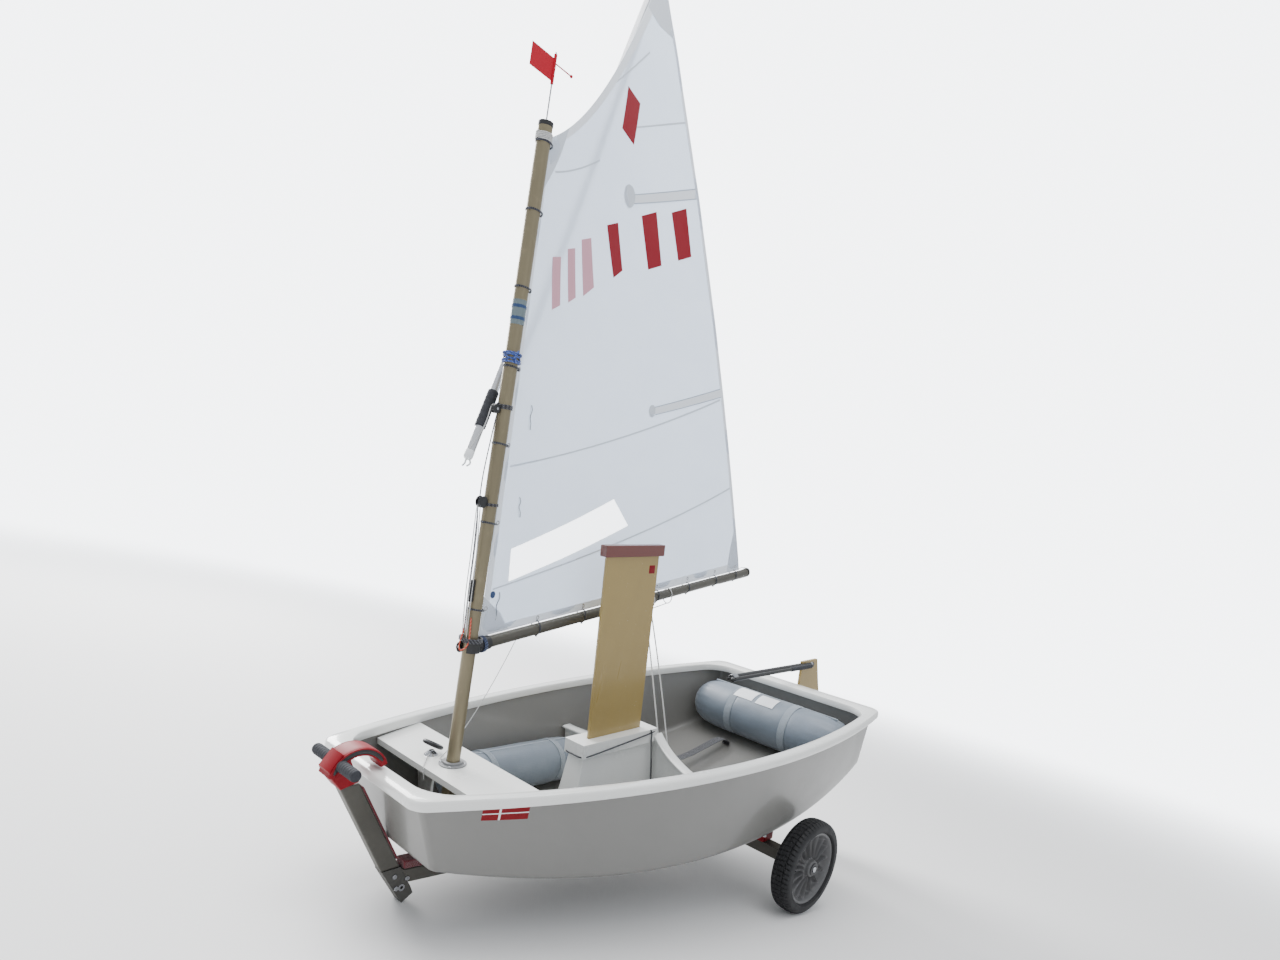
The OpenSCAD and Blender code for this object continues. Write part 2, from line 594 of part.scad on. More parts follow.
beam_fore = axle_x + tube / 2;
module dolly_spine() color([0.38, 0.38, 0.36]) stand() {
    high = spine_top(foot_aft(foot_z - 18));
    low = high - tube;
    side_plate([[beam_fore, spine_top(beam_fore)], [beam_fore, spine_top(beam_fore) - tube],
        [foot_aft(low) - seam, low], [foot_aft(high) - seam, high]], tube);
}
module dolly_foot() color([0.3, 0.3, 0.29]) stand() difference() {
    side_plate([foot_join, post_foot, [post_foot[0] + post_run, post_foot[1]], [tip_x, tip_z],
        [tip_x - 40, tip_z + 23]], 46);
    translate([foot_hole[0], -60, foot_hole[1]]) rotate([-90, 0, 0]) cylinder(r = foot_hole_r, h = 120);
}
module dolly_post() color([0.38, 0.38, 0.36]) stand()
    side_plate([post_foot, post_head, post_head + [post_run, 0], post_foot + [post_run, 0]], 40);
module spine_pad() color([0.5, 0.1, 0.16]) stand() {
    fore = foot_aft(spine_top(hull_len - 150)) - 3;
    aft = pad_touch_x + 50;
    side_plate([[aft, spine_top(aft)], [fore, spine_top(fore)], [fore, pad_line(fore) - 1],
        [aft, pad_line(aft) - 1]], tube);
}
module post_pad() color([0.6, 0.1, 0.17]) stand() {
    low = post_foot[1] + 27;
    high = post_head[1] - 16;
    translate([-seam, 0, 0]) side_plate([[post_aft(low), low], [post_aft(high), high],
        [post_aft(high) - 9, high], [post_aft(low) - 9, low]], 34);
}
module bow_hook() color([0.75, 0.12, 0.17]) stand() difference() {
    union() {
        intersection() {
            translate([hook_centre[0], hook_w / 2, hook_centre[1]]) rotate([90, 0, 0]) difference() {
                cylinder(r = hook_r, h = hook_w, $fn = 96);
                translate([0, 0, -1]) cylinder(r = hook_r - 32, h = hook_w + 2, $fn = 96);
            }
            centred([300, 100, 100], [hook_centre[0], 0, rail_z(hull_len - 20) + touch]);
        }
        side_plate([[hull_len + 92, post_head[1]], post_head + [post_run, 0], [hull_len + 155, bow_rail_z],
            [hull_len + 174, bow_rail_z + 25], [hull_len + 150, bow_rail_z + 65],
            [hull_len + 92, bow_rail_z + 69]], hook_w);
    }
    translate([bar_x, -80, bar_z]) rotate([-90, 0, 0]) cylinder(r = bar_r, h = 160);
}
module handle_bar() color("silver") stand()
    translate([bar_x, -bar_half, bar_z]) rotate([-90, 0, 0]) cylinder(r = bar_r, h = 2 * bar_half);
module handle_grips() color([0.14, 0.15, 0.17]) stand() for (side = [0, 1])
    mirror([0, side, 0]) translate([bar_x, grip_in, bar_z]) rotate([-90, 0, 0]) difference() {
    cylinder(r = grip_r, h = bar_half - grip_in + 4);
    translate([0, 0, -6]) cylinder(r = bar_r, h = bar_half - grip_in + 6);
}

hub_in = wheel_out - tyre_w + 6;
module axle_beam() color([0.38, 0.38, 0.36]) stand() {
    centred([tube, 2 * (hub_in - 12), tube], [axle_x, 0, axle_z - tube / 2]);
    for (side = [0, 1]) mirror([0, side, 0]) translate([axle_x, hub_in - 12, axle_z])
        rotate([-90, 0, 0]) cylinder(r = stub_r, h = wheel_out - hub_in + 10);
}
chock_y = chine_y(axle_x) - 144;
module chocks() color([0.65, 0.1, 0.16]) stand() for (side = [0, 1]) mirror([0, side, 0])
    translate([0, chock_y, 0]) side_plate([[axle_x - 36, axle_z + tube / 2], [axle_x + 36, axle_z + tube / 2],
        [axle_x + 36, chine_z(axle_x + 36) - 1], [axle_x - 36, chine_z(axle_x - 36) - 1]], 90);

rim_r = wheel_r - 46;
// Turned about the axle: points are [radius, distance out from the wheel's inner face]
module on_axle(side, points) stand() translate([axle_x, 0, axle_z]) mirror([0, side < 0 ? 1 : 0, 0])
    rotate([-90, 0, 0]) translate([0, 0, wheel_out - tyre_w]) rotate_extrude($fn = 96) polygon(points);
module tyre(side) color([0.1, 0.11, 0.12]) on_axle(side, [[rim_r, 8], [rim_r + 22, 0],
    [wheel_r - 12, 4], [wheel_r, 18], [wheel_r, tyre_w - 18], [wheel_r - 12, tyre_w - 4],
    [rim_r + 22, tyre_w], [rim_r, tyre_w - 8]]);
module rim(side) color([0.5, 0.5, 0.5]) on_axle(side, [[stub_r + bearing, 6], [32, 6], [34, 36],
    [rim_r - 14, 36], [rim_r - 8, 10], [rim_r, 10], [rim_r, tyre_w - 10], [rim_r - 8, tyre_w - 10],
    [rim_r - 14, 52], [34, 58], [30, tyre_w - 4], [stub_r + bearing, tyre_w - 4]]);
module port_tyre() tyre(1);
module port_rim() rim(1);
module starboard_tyre() tyre(-1);
module starboard_rim() rim(-1);

hull_shell();
rail();
mast_thwart();
mast_bulkhead();
mast_collar();
mast_step();
board_trunk();
midship_frame();
stern_bag();
port_bag();
starboard_bag();
sheet_block();
rudder_gudgeons();
rudder_blade();
rudder_pintles();
tiller();
tiller_extension();
daggerboard();
board_handle();
mast();
mast_plug();
boom();
boom_jaws();
boom_cap();
sprit();
sprit_grip();
sail();
luff_ties();
foot_ties();
sprit_tackle();
vane_stem();
wind_vane();
dolly_spine();
dolly_foot();
dolly_post();
spine_pad();
post_pad();
bow_hook();
handle_bar();
handle_grips();
axle_beam();
chocks();
port_tyre();
port_rim();
starboard_tyre();
starboard_rim();
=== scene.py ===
"""Looks of a small sprit-rigged training dinghy on its launching dolly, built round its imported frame."""

import json
import math

import bmesh
import bpy
import numpy as np
from mathutils import Matrix, Vector

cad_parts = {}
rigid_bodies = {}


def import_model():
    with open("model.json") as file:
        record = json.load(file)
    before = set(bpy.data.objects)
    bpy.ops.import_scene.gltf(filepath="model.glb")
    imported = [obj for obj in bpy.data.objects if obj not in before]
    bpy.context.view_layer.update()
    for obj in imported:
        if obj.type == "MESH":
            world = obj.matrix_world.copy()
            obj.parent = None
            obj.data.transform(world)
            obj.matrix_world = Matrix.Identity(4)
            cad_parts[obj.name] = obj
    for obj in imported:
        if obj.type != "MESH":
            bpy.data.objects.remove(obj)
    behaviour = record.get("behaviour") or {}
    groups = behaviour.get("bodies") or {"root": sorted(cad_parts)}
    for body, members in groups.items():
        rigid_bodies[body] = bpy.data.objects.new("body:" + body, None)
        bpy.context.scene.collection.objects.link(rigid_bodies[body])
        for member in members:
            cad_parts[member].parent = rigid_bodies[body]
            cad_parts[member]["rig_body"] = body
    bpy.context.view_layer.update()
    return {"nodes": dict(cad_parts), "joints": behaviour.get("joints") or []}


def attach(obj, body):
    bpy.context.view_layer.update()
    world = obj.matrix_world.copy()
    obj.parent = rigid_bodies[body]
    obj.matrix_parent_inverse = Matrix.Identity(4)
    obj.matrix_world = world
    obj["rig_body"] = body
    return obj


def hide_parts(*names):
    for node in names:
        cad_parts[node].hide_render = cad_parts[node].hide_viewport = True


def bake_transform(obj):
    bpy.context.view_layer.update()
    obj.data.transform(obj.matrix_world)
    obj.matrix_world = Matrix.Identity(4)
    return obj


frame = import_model()

# ---- Setting the boat level --------------------------------------------------------------------
# The hull lies pitched on its dolly and the mast is raked in the hull. Both tilts come from the
# joints of the frame: the rudder turns square to the keel line, and the boom swings round the mast.

joint = {j["name"]: j for j in frame["joints"]}


def tilt(angle):
    """Matrix that tilts points, written as rows, by an angle in radians round the athwartships axis."""
    c, s = math.cos(angle), math.sin(angle)
    return np.array([[c, 0, -s], [0, 1, 0], [s, 0, c]])


keel_axis = joint["rudder_turn"]["axis"]
mast_axis = joint["boom_swing"]["axis"]
keel_tilt = tilt(math.atan2(keel_axis[0], keel_axis[2]))
mast_tilt = tilt(math.atan2(mast_axis[0], mast_axis[2]))
RUDDER_PIN = (-0.046, 0, 0.290)
stern_foot = np.array(joint["rudder_turn"]["pos_m"]) - np.array(RUDDER_PIN) @ keel_tilt


def hull(points):
    """Points given along the hull (forward of the stern, to port, above the baseline), set in place."""
    return np.asarray(points, float) @ keel_tilt + stern_foot


# ---- Camera ------------------------------------------------------------------------------------
# A wide lens at about head height, off the port bow.

camera = bpy.data.objects.new("camera", bpy.data.cameras.new("camera"))
bpy.context.scene.collection.objects.link(camera)
camera.data.lens, camera.data.sensor_width = 22.72, 36
camera.data.shift_x, camera.data.shift_y = 0.0173, 0.0868
AZIMUTH, ELEVATION, ROLL = (math.radians(a) for a in (134.242, 9.663, -6.035))
ahead = -np.array([math.sin(AZIMUTH) * math.cos(ELEVATION),
                   -math.cos(AZIMUTH) * math.cos(ELEVATION), math.sin(ELEVATION)])
level = np.cross(ahead, (0, 0, 1))
level /= np.linalg.norm(level)
down = np.cross(ahead, level)
across = math.cos(ROLL) * level + math.sin(ROLL) * down
below = math.cos(ROLL) * down - math.sin(ROLL) * level
sight = np.array([across, -below, -ahead]) @ keel_tilt
camera.matrix_world = Matrix([[*sight[:, k], hull((3.47905, 2.09911, 1.43162))[k]] for k in range(3)]
                             + [[0, 0, 0, 1]])
bpy.context.scene.camera = camera


# ---- Hull skin ---------------------------------------------------------------------------------
# A pram hull of glass-reinforced polyester, moulded in one piece and sprayed with grey gelcoat. It
# has flat raked transoms, a rounded chine and a slot in the bottom that the daggerboard drops through.

class Value:
    """A socket that takes part in sums: an expression on values adds its Math nodes."""

    def __init__(self, finish, socket):
        self.finish, self.socket = finish, socket

    def maths(self, operation, *terms):
        return self.finish.node("ShaderNodeMath", {"operation": operation}, dict(enumerate(terms)))

    def __add__(self, other):
        return self.maths("ADD", self, other)

    def __sub__(self, other):
        return self.maths("SUBTRACT", self, other)

    def __rsub__(self, other):
        return self.maths("SUBTRACT", other, self)

    def __mul__(self, other):
        return self.maths("MULTIPLY", self, other)

    def __truediv__(self, other):
        return self.maths("DIVIDE", self, other)

    def __pow__(self, other):
        return self.maths("POWER", self, other)

    __radd__, __rmul__ = __add__, __mul__

    def wave(self):
        return self.maths("SINE", self)

    def ease(self, low, high):
        """Rises smoothly from 0 to 1 while the value goes from low to high."""
        return self.finish.node("ShaderNodeMapRange", {"interpolation_type": "SMOOTHSTEP"},
                                {0: self, 1: low, 2: high})


class Finish:
    """A material: one Principled shader, whose sockets take constants, values and colours."""

    def __init__(self, name, colour, roughness, **constants):
        self.material = bpy.data.materials.new(name)
        self.material.use_nodes = True
        self.tree = self.material.node_tree
        self.shader = self.tree.nodes["Principled BSDF"]
        self.set(Base_Color=colour, Roughness=roughness, **constants)

    def plug(self, socket, value):
        if isinstance(value, Value):
            self.tree.links.new(value.socket, socket)
        elif socket.type == "RGBA":
            socket.default_value = (*value[:3], 1)
        else:
            socket.default_value = value

    def set(self, **sockets):
        for name, value in sockets.items():
            self.plug(self.shader.inputs[name.replace("_", " ")], value)
        return self

    def node(self, kind, settings, sockets, out=0):
        """Any node: its type, its settings, the values or links of its sockets, and the output wanted."""
        new = self.tree.nodes.new(kind)
        for name, value in settings.items():
            setattr(new, name, value)
        for place, value in sockets.items():
            self.plug(new.inputs[place], value)
        return Value(self, new.outputs[out])

    def place(self, stretch=(1, 1, 1)):
        """Position on the object, stretched for a pattern."""
        spot = self.node("ShaderNodeTexCoord", {}, {}, 3)
        return self.node("ShaderNodeMapping", {}, {"Vector": spot, "Scale": stretch})

    def parts(self, spot):
        """The three numbers of a position."""
        return [self.node("ShaderNodeSeparateXYZ", {}, {0: spot}, k) for k in range(3)]

    def along_and_round(self):
        """Position on the piece's own map: along it, and round it."""
        return self.parts(self.node("ShaderNodeTexCoord", {}, {}, 2))[:2]

    def noise(self, scale, detail=3, stretch=(1, 1, 1), rough=0.55):
        return self.node("ShaderNodeTexNoise", {}, {"Vector": self.place(stretch), "Scale": scale,
                                                    "Detail": detail, "Roughness": rough})

    def mix(self, share, first, second):
        """Colour between two colours by share."""
        return self.node("ShaderNodeMix", {"data_type": "RGBA"}, {0: share, 6: first, 7: second}, 2)

    def cover(self, share, shader):
        """Mixes another shader over this one by share."""
        both = self.node("ShaderNodeMixShader", {}, {0: share, 1: Value(self, self.shader.outputs[0]), 2: shader})
        self.plug(self.tree.nodes["Material Output"].inputs["Surface"], both)

    def bump(self, height, depth, strength=1.0):
        """Height, times depth in metres, raises the surface."""
        self.set(Normal=self.node("ShaderNodeBump", {}, {"Height": height, "Distance": depth,
                                                         "Strength": strength}))
        return self


def tone(red, green, blue):
    """Linear colour of a paint chip that is given from 0 to 255."""
    return tuple(c / 3294.6 if c < 10.3 else ((c / 255 + 0.055) / 1.055) ** 2.4 for c in (red, green, blue))


def shaded(colour, factor):
    return tuple(min(1.0, c * factor) for c in colour)


def worn(name, colour, roughness, mottle=0.12, dirt=0.10, scratch=0.04, peel=0.00015, **constants):
    """Moulded or painted surface: mottled colour, dirt in broad patches, faint scratches and orange peel."""
    f = Finish(name, colour, roughness, **constants)
    patches = f.noise(5, 4).ease(0.35, 0.75)
    fine = f.noise(60, 3)
    lines = f.noise(9, 5, (14, 3, 40), rough=0.7).ease(0.62, 0.75)
    base = f.mix(fine * mottle, colour, shaded(colour, 0.75))
    base = f.mix(patches * dirt, base, shaded(colour, 0.55))
    f.set(Base_Color=f.mix(lines * scratch, base, shaded(colour, 1.5)),
          Roughness=(patches * 0.10 + fine * 0.06 + lines * (2 * scratch)) + (roughness - 0.06))
    return f.bump(f.noise(240, 2), peel, 0.6)


def through(stations, values):
    """Parabola through three stations, as a function of the distance along the hull."""
    terms = np.polyfit(stations, values, 2)
    return lambda x: np.polyval(terms, x)


HULL_LENGTH = 2.300
RAIL_STATIONS, CHINE_STATIONS = (0, 1.150, 2.300), (0.016, 1.150, 2.235)
rail_y = through(RAIL_STATIONS, (0.474, 0.567, 0.296))
rail_z = through(RAIL_STATIONS, (0.380, 0.383, 0.425))
chine_y = through(CHINE_STATIONS, (0.421, 0.477, 0.255))
chine_z = through(CHINE_STATIONS, (0.108, -0.008, 0.171))
STERN_RAKE, BOW_RAKE = 0.016, 0.065
SKIN, CHINE_RADIUS, CORNER_RADIUS, FOOT_RADIUS = 0.006, 0.028, 0.017, 0.008
RAIL_DEEP, RAIL_LIP = 0.032, 0.030
SLOT = (1.110, 1.412, 0.011)
cad_nodes = frame["nodes"]


def floor_z(x):
    return chine_z(x) + SKIN


def inner_y(x, z):
    """Inner half width of the hull at station x and height z."""
    share = (z - floor_z(x)) / (rail_z(x) - RAIL_DEEP - floor_z(x))
    return chine_y(x) + (rail_y(x) - RAIL_LIP - chine_y(x)) * share - SKIN


def hull_sections(wall):
    """U-shaped sections from stern to bow, each from the port sheer under the bottom to the starboard one.
    The half width is a straight flare from the chine to the sheer, less the square of the turn round the
    chine, less a quarter circle at the transoms; the bottom runs straight across."""
    turn = np.linspace(0, 1, 6)
    share = np.concatenate([[1, 0.8, 0.6, 0.4, 0.2], (1 - turn) ** 2 * CHINE_RADIUS / 0.359])
    turned = np.concatenate([np.zeros(5), turn ** 2])
    radius = CORNER_RADIUS - wall
    corner = np.linspace(0, math.pi / 2, 7)
    aft, fore = STERN_RAKE + FOOT_RADIUS + CORNER_RADIUS, HULL_LENGTH - BOW_RAKE - FOOT_RADIUS - CORNER_RADIUS
    run = np.sort(np.append(np.linspace(aft, fore, 41)[1:-1], SLOT[:2]))
    run = (run - aft) / (fore - aft)
    stern = STERN_RAKE * (1 - share) + wall + FOOT_RADIUS * turned
    bow = HULL_LENGTH - BOW_RAKE * (1 - share) - wall - FOOT_RADIUS * turned
    back = radius * (1 - np.cos(corner))[:, None]
    x = np.concatenate([stern + back, (stern + radius) * (1 - run[:, None]) + (bow - radius) * run[:, None],
                        (bow - back)[::-1]])
    drop = radius * (1 - np.sin(corner))
    drop = np.concatenate([drop, np.zeros(len(run)), drop[::-1]])[:, None]
    y = chine_y(x) + (rail_y(x) - RAIL_LIP - chine_y(x)) * share - CHINE_RADIUS * turned - wall - drop
    z = chine_z(x) + (rail_z(x) - RAIL_DEEP - chine_z(x)) * share + wall * (1 - share)
    side = np.stack([x, y, z], -1)
    foot = side[:, -1:]
    slot = np.full_like(foot[..., 1], SLOT[2])
    reach = [(foot[..., 1] + slot) / 2, slot, -slot, -(foot[..., 1] + slot) / 2]
    bottom = np.stack([foot[..., 0] + 0 * slot] * 4, 1), np.stack(reach, 1), np.stack([foot[..., 2]] * 4, 1)
    bottom = np.concatenate([b[..., :1] for b in bottom], -1)
    return np.concatenate([side, bottom, side[:, ::-1] * (1, -1, 1)], 1)


def cells(rows, columns, first=0):
    """Quads of a grid of points that run row by row."""
    corner = first + np.arange(rows - 1)[:, None] * columns + np.arange(columns - 1)
    return np.stack([corner, corner + 1, corner + columns + 1, corner + columns], -1)


def bridge(one, other):
    """Quads between two runs of points."""
    one, other = np.asarray(one), np.asarray(other)
    return np.stack([one[:-1], one[1:], other[1:], other[:-1]], -1)


def mesh_piece(name, points, faces, body, finish, replaced=(), uv=None, sharp=38):
    """Piece from points and faces: doubles merged, faces turned outwards, shaded smooth below `sharp`."""
    mesh = bpy.data.meshes.new(name)
    mesh.from_pydata(np.asarray(points, float).reshape(-1, 3), [], [tuple(int(k) for k in f) for f in faces])
    if uv is not None:
        corners = np.zeros(len(mesh.loops), np.int32)
        mesh.loops.foreach_get("vertex_index", corners)
        mesh.uv_layers.new(name="surface").data.foreach_set("uv", uv.reshape(-1, 2)[corners].ravel())
    work = bmesh.new()
    work.from_mesh(mesh)
    bmesh.ops.remove_doubles(work, verts=work.verts, dist=2e-6)
    bmesh.ops.recalc_face_normals(work, faces=work.faces)
    work.to_mesh(mesh)
    work.free()
    mesh.polygons.foreach_set("use_smooth", [True] * len(mesh.polygons))
    mesh.set_sharp_from_angle(angle=math.radians(sharp))
    obj = bpy.data.objects.new(name, mesh)
    bpy.context.scene.collection.objects.link(obj)
    mesh.materials.append(finish.material)
    if replaced:
        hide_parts(*replaced)
    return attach(obj, body) if body else obj


def thin_patch(name, top, under, body, finish, slot):
    """Thin patch between two grids of points, closed round its edge."""
    rows, columns = top.shape[:2]
    first = np.arange(rows * columns).reshape(rows, columns)
    rim = np.concatenate([first[:, 0], first[-1, 1:], first[-2::-1, -1], first[0, -2::-1]])
    faces = np.concatenate([cells(rows, columns).reshape(-1, 4), cells(rows, columns, rows * columns).reshape(-1, 4),
                            bridge(rim, rim + rows * columns)])
    return mesh_piece(name, np.stack([top, under]), faces, body, finish)


def surface(name, grids, body, finish, replaced=(), sharp=38):
    """Piece from one or more grids of points. A grid whose columns close on themselves gets its open ends
    filled. Its own map runs in metres along the rows and from 0 to 1 round the columns."""
    points, faces, uv, first = [], [], [], 0
    for grid in grids:
        rows, columns = grid.shape[:2]
        points.append(grid.reshape(-1, 3))
        faces += list(cells(rows, columns, first).reshape(-1, 4))
        step = np.linalg.norm(np.diff(grid.mean(1), axis=0), axis=1)
        along = np.concatenate([[0], np.cumsum(step)])
        uv.append(np.stack(np.broadcast_arrays(along[:, None], np.linspace(0, 1, columns)), -1).reshape(-1, 2))
        if np.allclose(grid[:, 0], grid[:, -1], atol=1e-6) and not np.allclose(grid[0], grid[-1], atol=1e-6):
            for row in (0, rows - 1):
                if np.ptp(grid[row], axis=0).max() > 1e-5:
                    faces.append(first + row * columns + np.arange(columns - 1))
        first += rows * columns
    return mesh_piece(name, np.concatenate(points), faces, body, finish, replaced,
                      np.concatenate(uv), sharp)


# The gelcoat's colour is set darker than the real light grey gelcoat: part of it is painted shade for the port side,
# which lies in shadow.
hull_gelcoat = worn("hull gelcoat", tone(118, 117, 114), 0.32, 0.03, 0.03, 0.0, 0.00002, Coat_Weight=0.35,
                    Coat_Roughness=0.12)
outer, inner = hull_sections(0), hull_sections(SKIN)
count, girth = outer.shape[:2]
skin_points = np.concatenate([outer.reshape(-1, 3), inner.reshape(-1, 3)])
number = np.arange(2 * count * girth).reshape(2, count, girth)
slot_rows = [int(np.argmin(abs(outer[:, girth // 2, 0] - x))) for x in SLOT[:2]]
middle = girth // 2 - 1
skin_faces = []
for layer in number:
    open_cells = cells(count, girth, layer[0, 0])
    keep = np.ones(open_cells.shape[:2], bool)
    keep[slot_rows[0]:slot_rows[1], middle] = False
    skin_faces += list(open_cells[keep])
    for end in (layer[0], layer[-1]):
        skin_faces += list(bridge(end, end[::-1])[:middle + 1])
sheer = [np.concatenate([layer[:, 0], layer[::-1, -1], layer[:1, 0]]) for layer in number]
skin_faces += list(bridge(*sheer))
first_row, last_row = slot_rows
slot_rim = [np.concatenate([layer[first_row:last_row + 1, middle], layer[last_row:first_row - 1:-1, middle + 1],
                            layer[first_row:first_row + 1, middle]]) for layer in number]
skin_faces += list(bridge(*slot_rim))
mesh_piece("hull_skin", hull(skin_points), skin_faces, "boat", hull_gelcoat, ["hull_shell"],
           sharp=30)


# ---- Rail --------------------------------------------------------------------------------------
# A white moulded gunwale, glued over the sheer all round: rounded outside, flat on top, with a wide
# flange across the bow and another across the stern.

def plan_outline(aft, fore, inset, radius):
    """Closed plan line: straight transoms, sides inset from the rail's outer edge, and corners that are the
    conic (1-t)^2 a + 2 w t (1-t) c + t^2 b with w = cos 45, which is close to a quarter circle."""
    def corner(end, inward):
        edge = rail_y(end) - inset
        reach = end + inward * radius
        a, c, b = np.array([[end, edge - radius], [end, edge], [reach, rail_y(reach) - inset]])
        t = np.linspace(0, 1, 9)[:, None]
        w = 2 * math.cos(math.pi / 4) * t * (1 - t)
        return ((1 - t) ** 2 * a + w * c + t * t * b) / ((1 - t) ** 2 + w + t * t)
    x = np.linspace(aft + radius, fore - radius, 34)[1:-1]
    stern, bow = corner(aft, 1), corner(fore, -1)[::-1]
    cross = np.linspace(0, 1, 5)[:-1, None]
    port = np.concatenate([stern[:1] * (1, 0) + cross * stern[:1] * (0, 1), stern,
                           np.stack([x, rail_y(x) - inset], 1), bow,
                           bow[-1:] * (1, 0) + cross[::-1] * bow[-1:] * (0, 1)])
    return np.concatenate([port, (port * (1, -1))[::-1]])


white_gelcoat = worn("white gelcoat", tone(232, 233, 230), 0.22, 0.05, 0.10, 0.02, 0.00008, Coat_Weight=0.6,
                     Coat_Roughness=0.08)
rail_out = plan_outline(-RAIL_LIP, HULL_LENGTH + RAIL_LIP, 0, 0.032)
rail_in = plan_outline(0.050, HULL_LENGTH + RAIL_LIP - 0.066, 0.046, 0.095)
width = np.linalg.norm(rail_in - rail_out, axis=1, keepdims=True)
inward = (rail_in - rail_out) / width
# Section of the rail: distance in from the outer edge, share of the width, height above its underside
rail_section = np.array([[0.004, 0, 0.0003], [0, 0, 0.005], [-0.0, 0, 0.016], [0.001, 0, 0.024],
                         [0.005, 0, 0.030], [0.011, 0, 0.0325], [0.002, 0.5, 0.0325], [-0.008, 1, 0.032],
                         [-0.002, 1, 0.030], [0, 1, 0.025], [0, 1, 0.006], [-0.003, 1, 0.0003],
                         [0.004, 0, 0.0003]])
reach = rail_section[:, 0] + width * rail_section[:, 1]
plan = rail_out[:, None] + inward[:, None] * reach[..., None]
height = rail_z(plan[..., 0]) - RAIL_DEEP + rail_section[:, 2]
surface("rail_moulding", [hull(np.concatenate([plan, height[..., None]], -1))], "boat", white_gelcoat,
        ["rail"], sharp=45)


# ---- Thwart, bulkhead, mast step and collar ----------------------------------------------------
# White moulded slabs bonded between the topsides. The bulkhead under the thwart has two arches, and
# the mast passes a screwed-down collar on the thwart and stands in the step.

def eased(node, finish, radius=0.002, steps=2, angle=40):
    """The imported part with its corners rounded: its triangles are merged, flat ones joined, and a bevel
    of the given radius runs along each edge sharper than the angle."""
    source = cad_nodes[node].data
    points = np.zeros(len(source.vertices) * 3)
    source.vertices.foreach_get("co", points)
    corners = np.zeros(len(source.loops), np.int32)
    source.loops.foreach_get("vertex_index", corners)
    obj = mesh_piece(node + "_finished", points.reshape(-1, 3), corners.reshape(-1, 3),
                     cad_nodes[node]["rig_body"], finish, [node])
    work = bmesh.new()
    work.from_mesh(obj.data)
    bmesh.ops.dissolve_limit(work, angle_limit=math.radians(0.6), verts=work.verts, edges=work.edges)
    work.to_mesh(obj.data)
    work.free()
    obj.data.set_sharp_from_angle(angle=math.radians(angle))
    if radius:
        bevel = obj.modifiers.new("eased edges", "BEVEL")
        bevel.width, bevel.segments, bevel.limit_method = radius, steps, "ANGLE"
        bevel.angle_limit, bevel.harden_normals = math.radians(angle), True
        bevel.miter_outer = "MITER_ARC"
    return obj


def ring(radius, count=16):
    """Closed round outline."""
    t = np.linspace(0, 2 * math.pi, count + 1)
    return np.stack([radius * np.cos(t), radius * np.sin(t)], 1)


def sweep(path, outline, up=(0, 0, 1), scale=1.0, closed=False):
    """An outline (x, y) carried along a path: p + scale (x side + y rise), where side is square to the
    path and to `up`, and rise is square to both. Scale may change along the path."""
    path = np.asarray(path, float)
    way = np.gradient(np.concatenate([path[-2:-1], path, path[1:2]]) if closed else path, axis=0)
    way = way[1:-1] if closed else way
    side = np.cross(way, up)
    side /= np.linalg.norm(side, axis=1, keepdims=True)
    rise = np.cross(side, way)
    rise /= np.linalg.norm(rise, axis=1, keepdims=True)
    scale = np.broadcast_to(scale, len(path))[:, None, None]
    return path[:, None] + scale * (outline[:, :1] * side[:, None] + outline[:, 1:] * rise[:, None])


def turned_on(centre, axis, profile, count=24):
    """Profile (radius, height) turned about an axis: centre + h axis + r (cos t across + sin t beside)."""
    axis = np.asarray(axis, float) / np.linalg.norm(axis)
    across = np.cross(axis, (0.31, 0.87, 0.39))
    across /= np.linalg.norm(across)
    beside = np.cross(axis, across)
    t = np.linspace(0, 2 * math.pi, count + 1)
    round_ = np.cos(t)[:, None] * across + np.sin(t)[:, None] * beside
    profile = np.asarray(profile, float)
    return np.asarray(centre) + profile[:, 1, None, None] * axis + profile[:, 0, None, None] * round_


def smooth(points, steps=10):
    """Path through points: on each stretch the cubic that leaves and arrives along its neighbours' chord."""
    p = np.asarray(points, float)
    way = np.gradient(p, axis=0)
    t = np.linspace(0, 1, steps, endpoint=False)[:, None, None]
    path = ((2 * t**3 - 3 * t**2 + 1) * p[:-1] + (t**3 - 2 * t**2 + t) * way[:-1]
            + (3 * t**2 - 2 * t**3) * p[1:] + (t**3 - t**2) * way[1:])
    return np.concatenate([path.transpose(1, 0, 2).reshape(-1, 3), p[-1:]])


UP = np.array([0, 0, 1.0]) @ keel_tilt
FORWARD = np.array([1.0, 0, 0]) @ keel_tilt
PORT = np.array([0, 1.0, 0])
THWART_AFT, MAST_X, MAST_R = 1.900, 2.013, 0.0225
thwart_top = (np.array(joint["boom_swing"]["pos_m"]) - stern_foot) @ keel_tilt.T
THWART_Z = thwart_top[2]
grey_plastic = worn("grey plastic", tone(128, 129, 131), 0.45, 0.08, 0.12, 0.04)
stainless = worn("stainless steel", tone(178, 180, 184), 0.24, 0.10, 0.08, 0.12, 0.00004, Metallic=1.0)
black_plastic = worn("black plastic", tone(24, 25, 28), 0.42, 0.2, 0.15, 0.10)
eased("mast_thwart", white_gelcoat, 0.005, 3)
eased("mast_bulkhead", white_gelcoat, 0.002)
eased("mast_step", white_gelcoat, 0.004)
eased("mast_collar", grey_plastic, 0.0015)
SCREW = [(0, 0.0024), (0.0022, 0.0022), (0.0040, 0.0012), (0.0046, 0), (0.0046, -0.001), (0, -0.001)]
screw_turn = np.radians([45, 135, 225, 315])
surface("collar_screws", [turned_on(hull((MAST_X + 0.040 * math.cos(a), 0.040 * math.sin(a), THWART_Z + 0.004)),
                                    UP, SCREW, 12) for a in screw_turn], "boat", stainless)
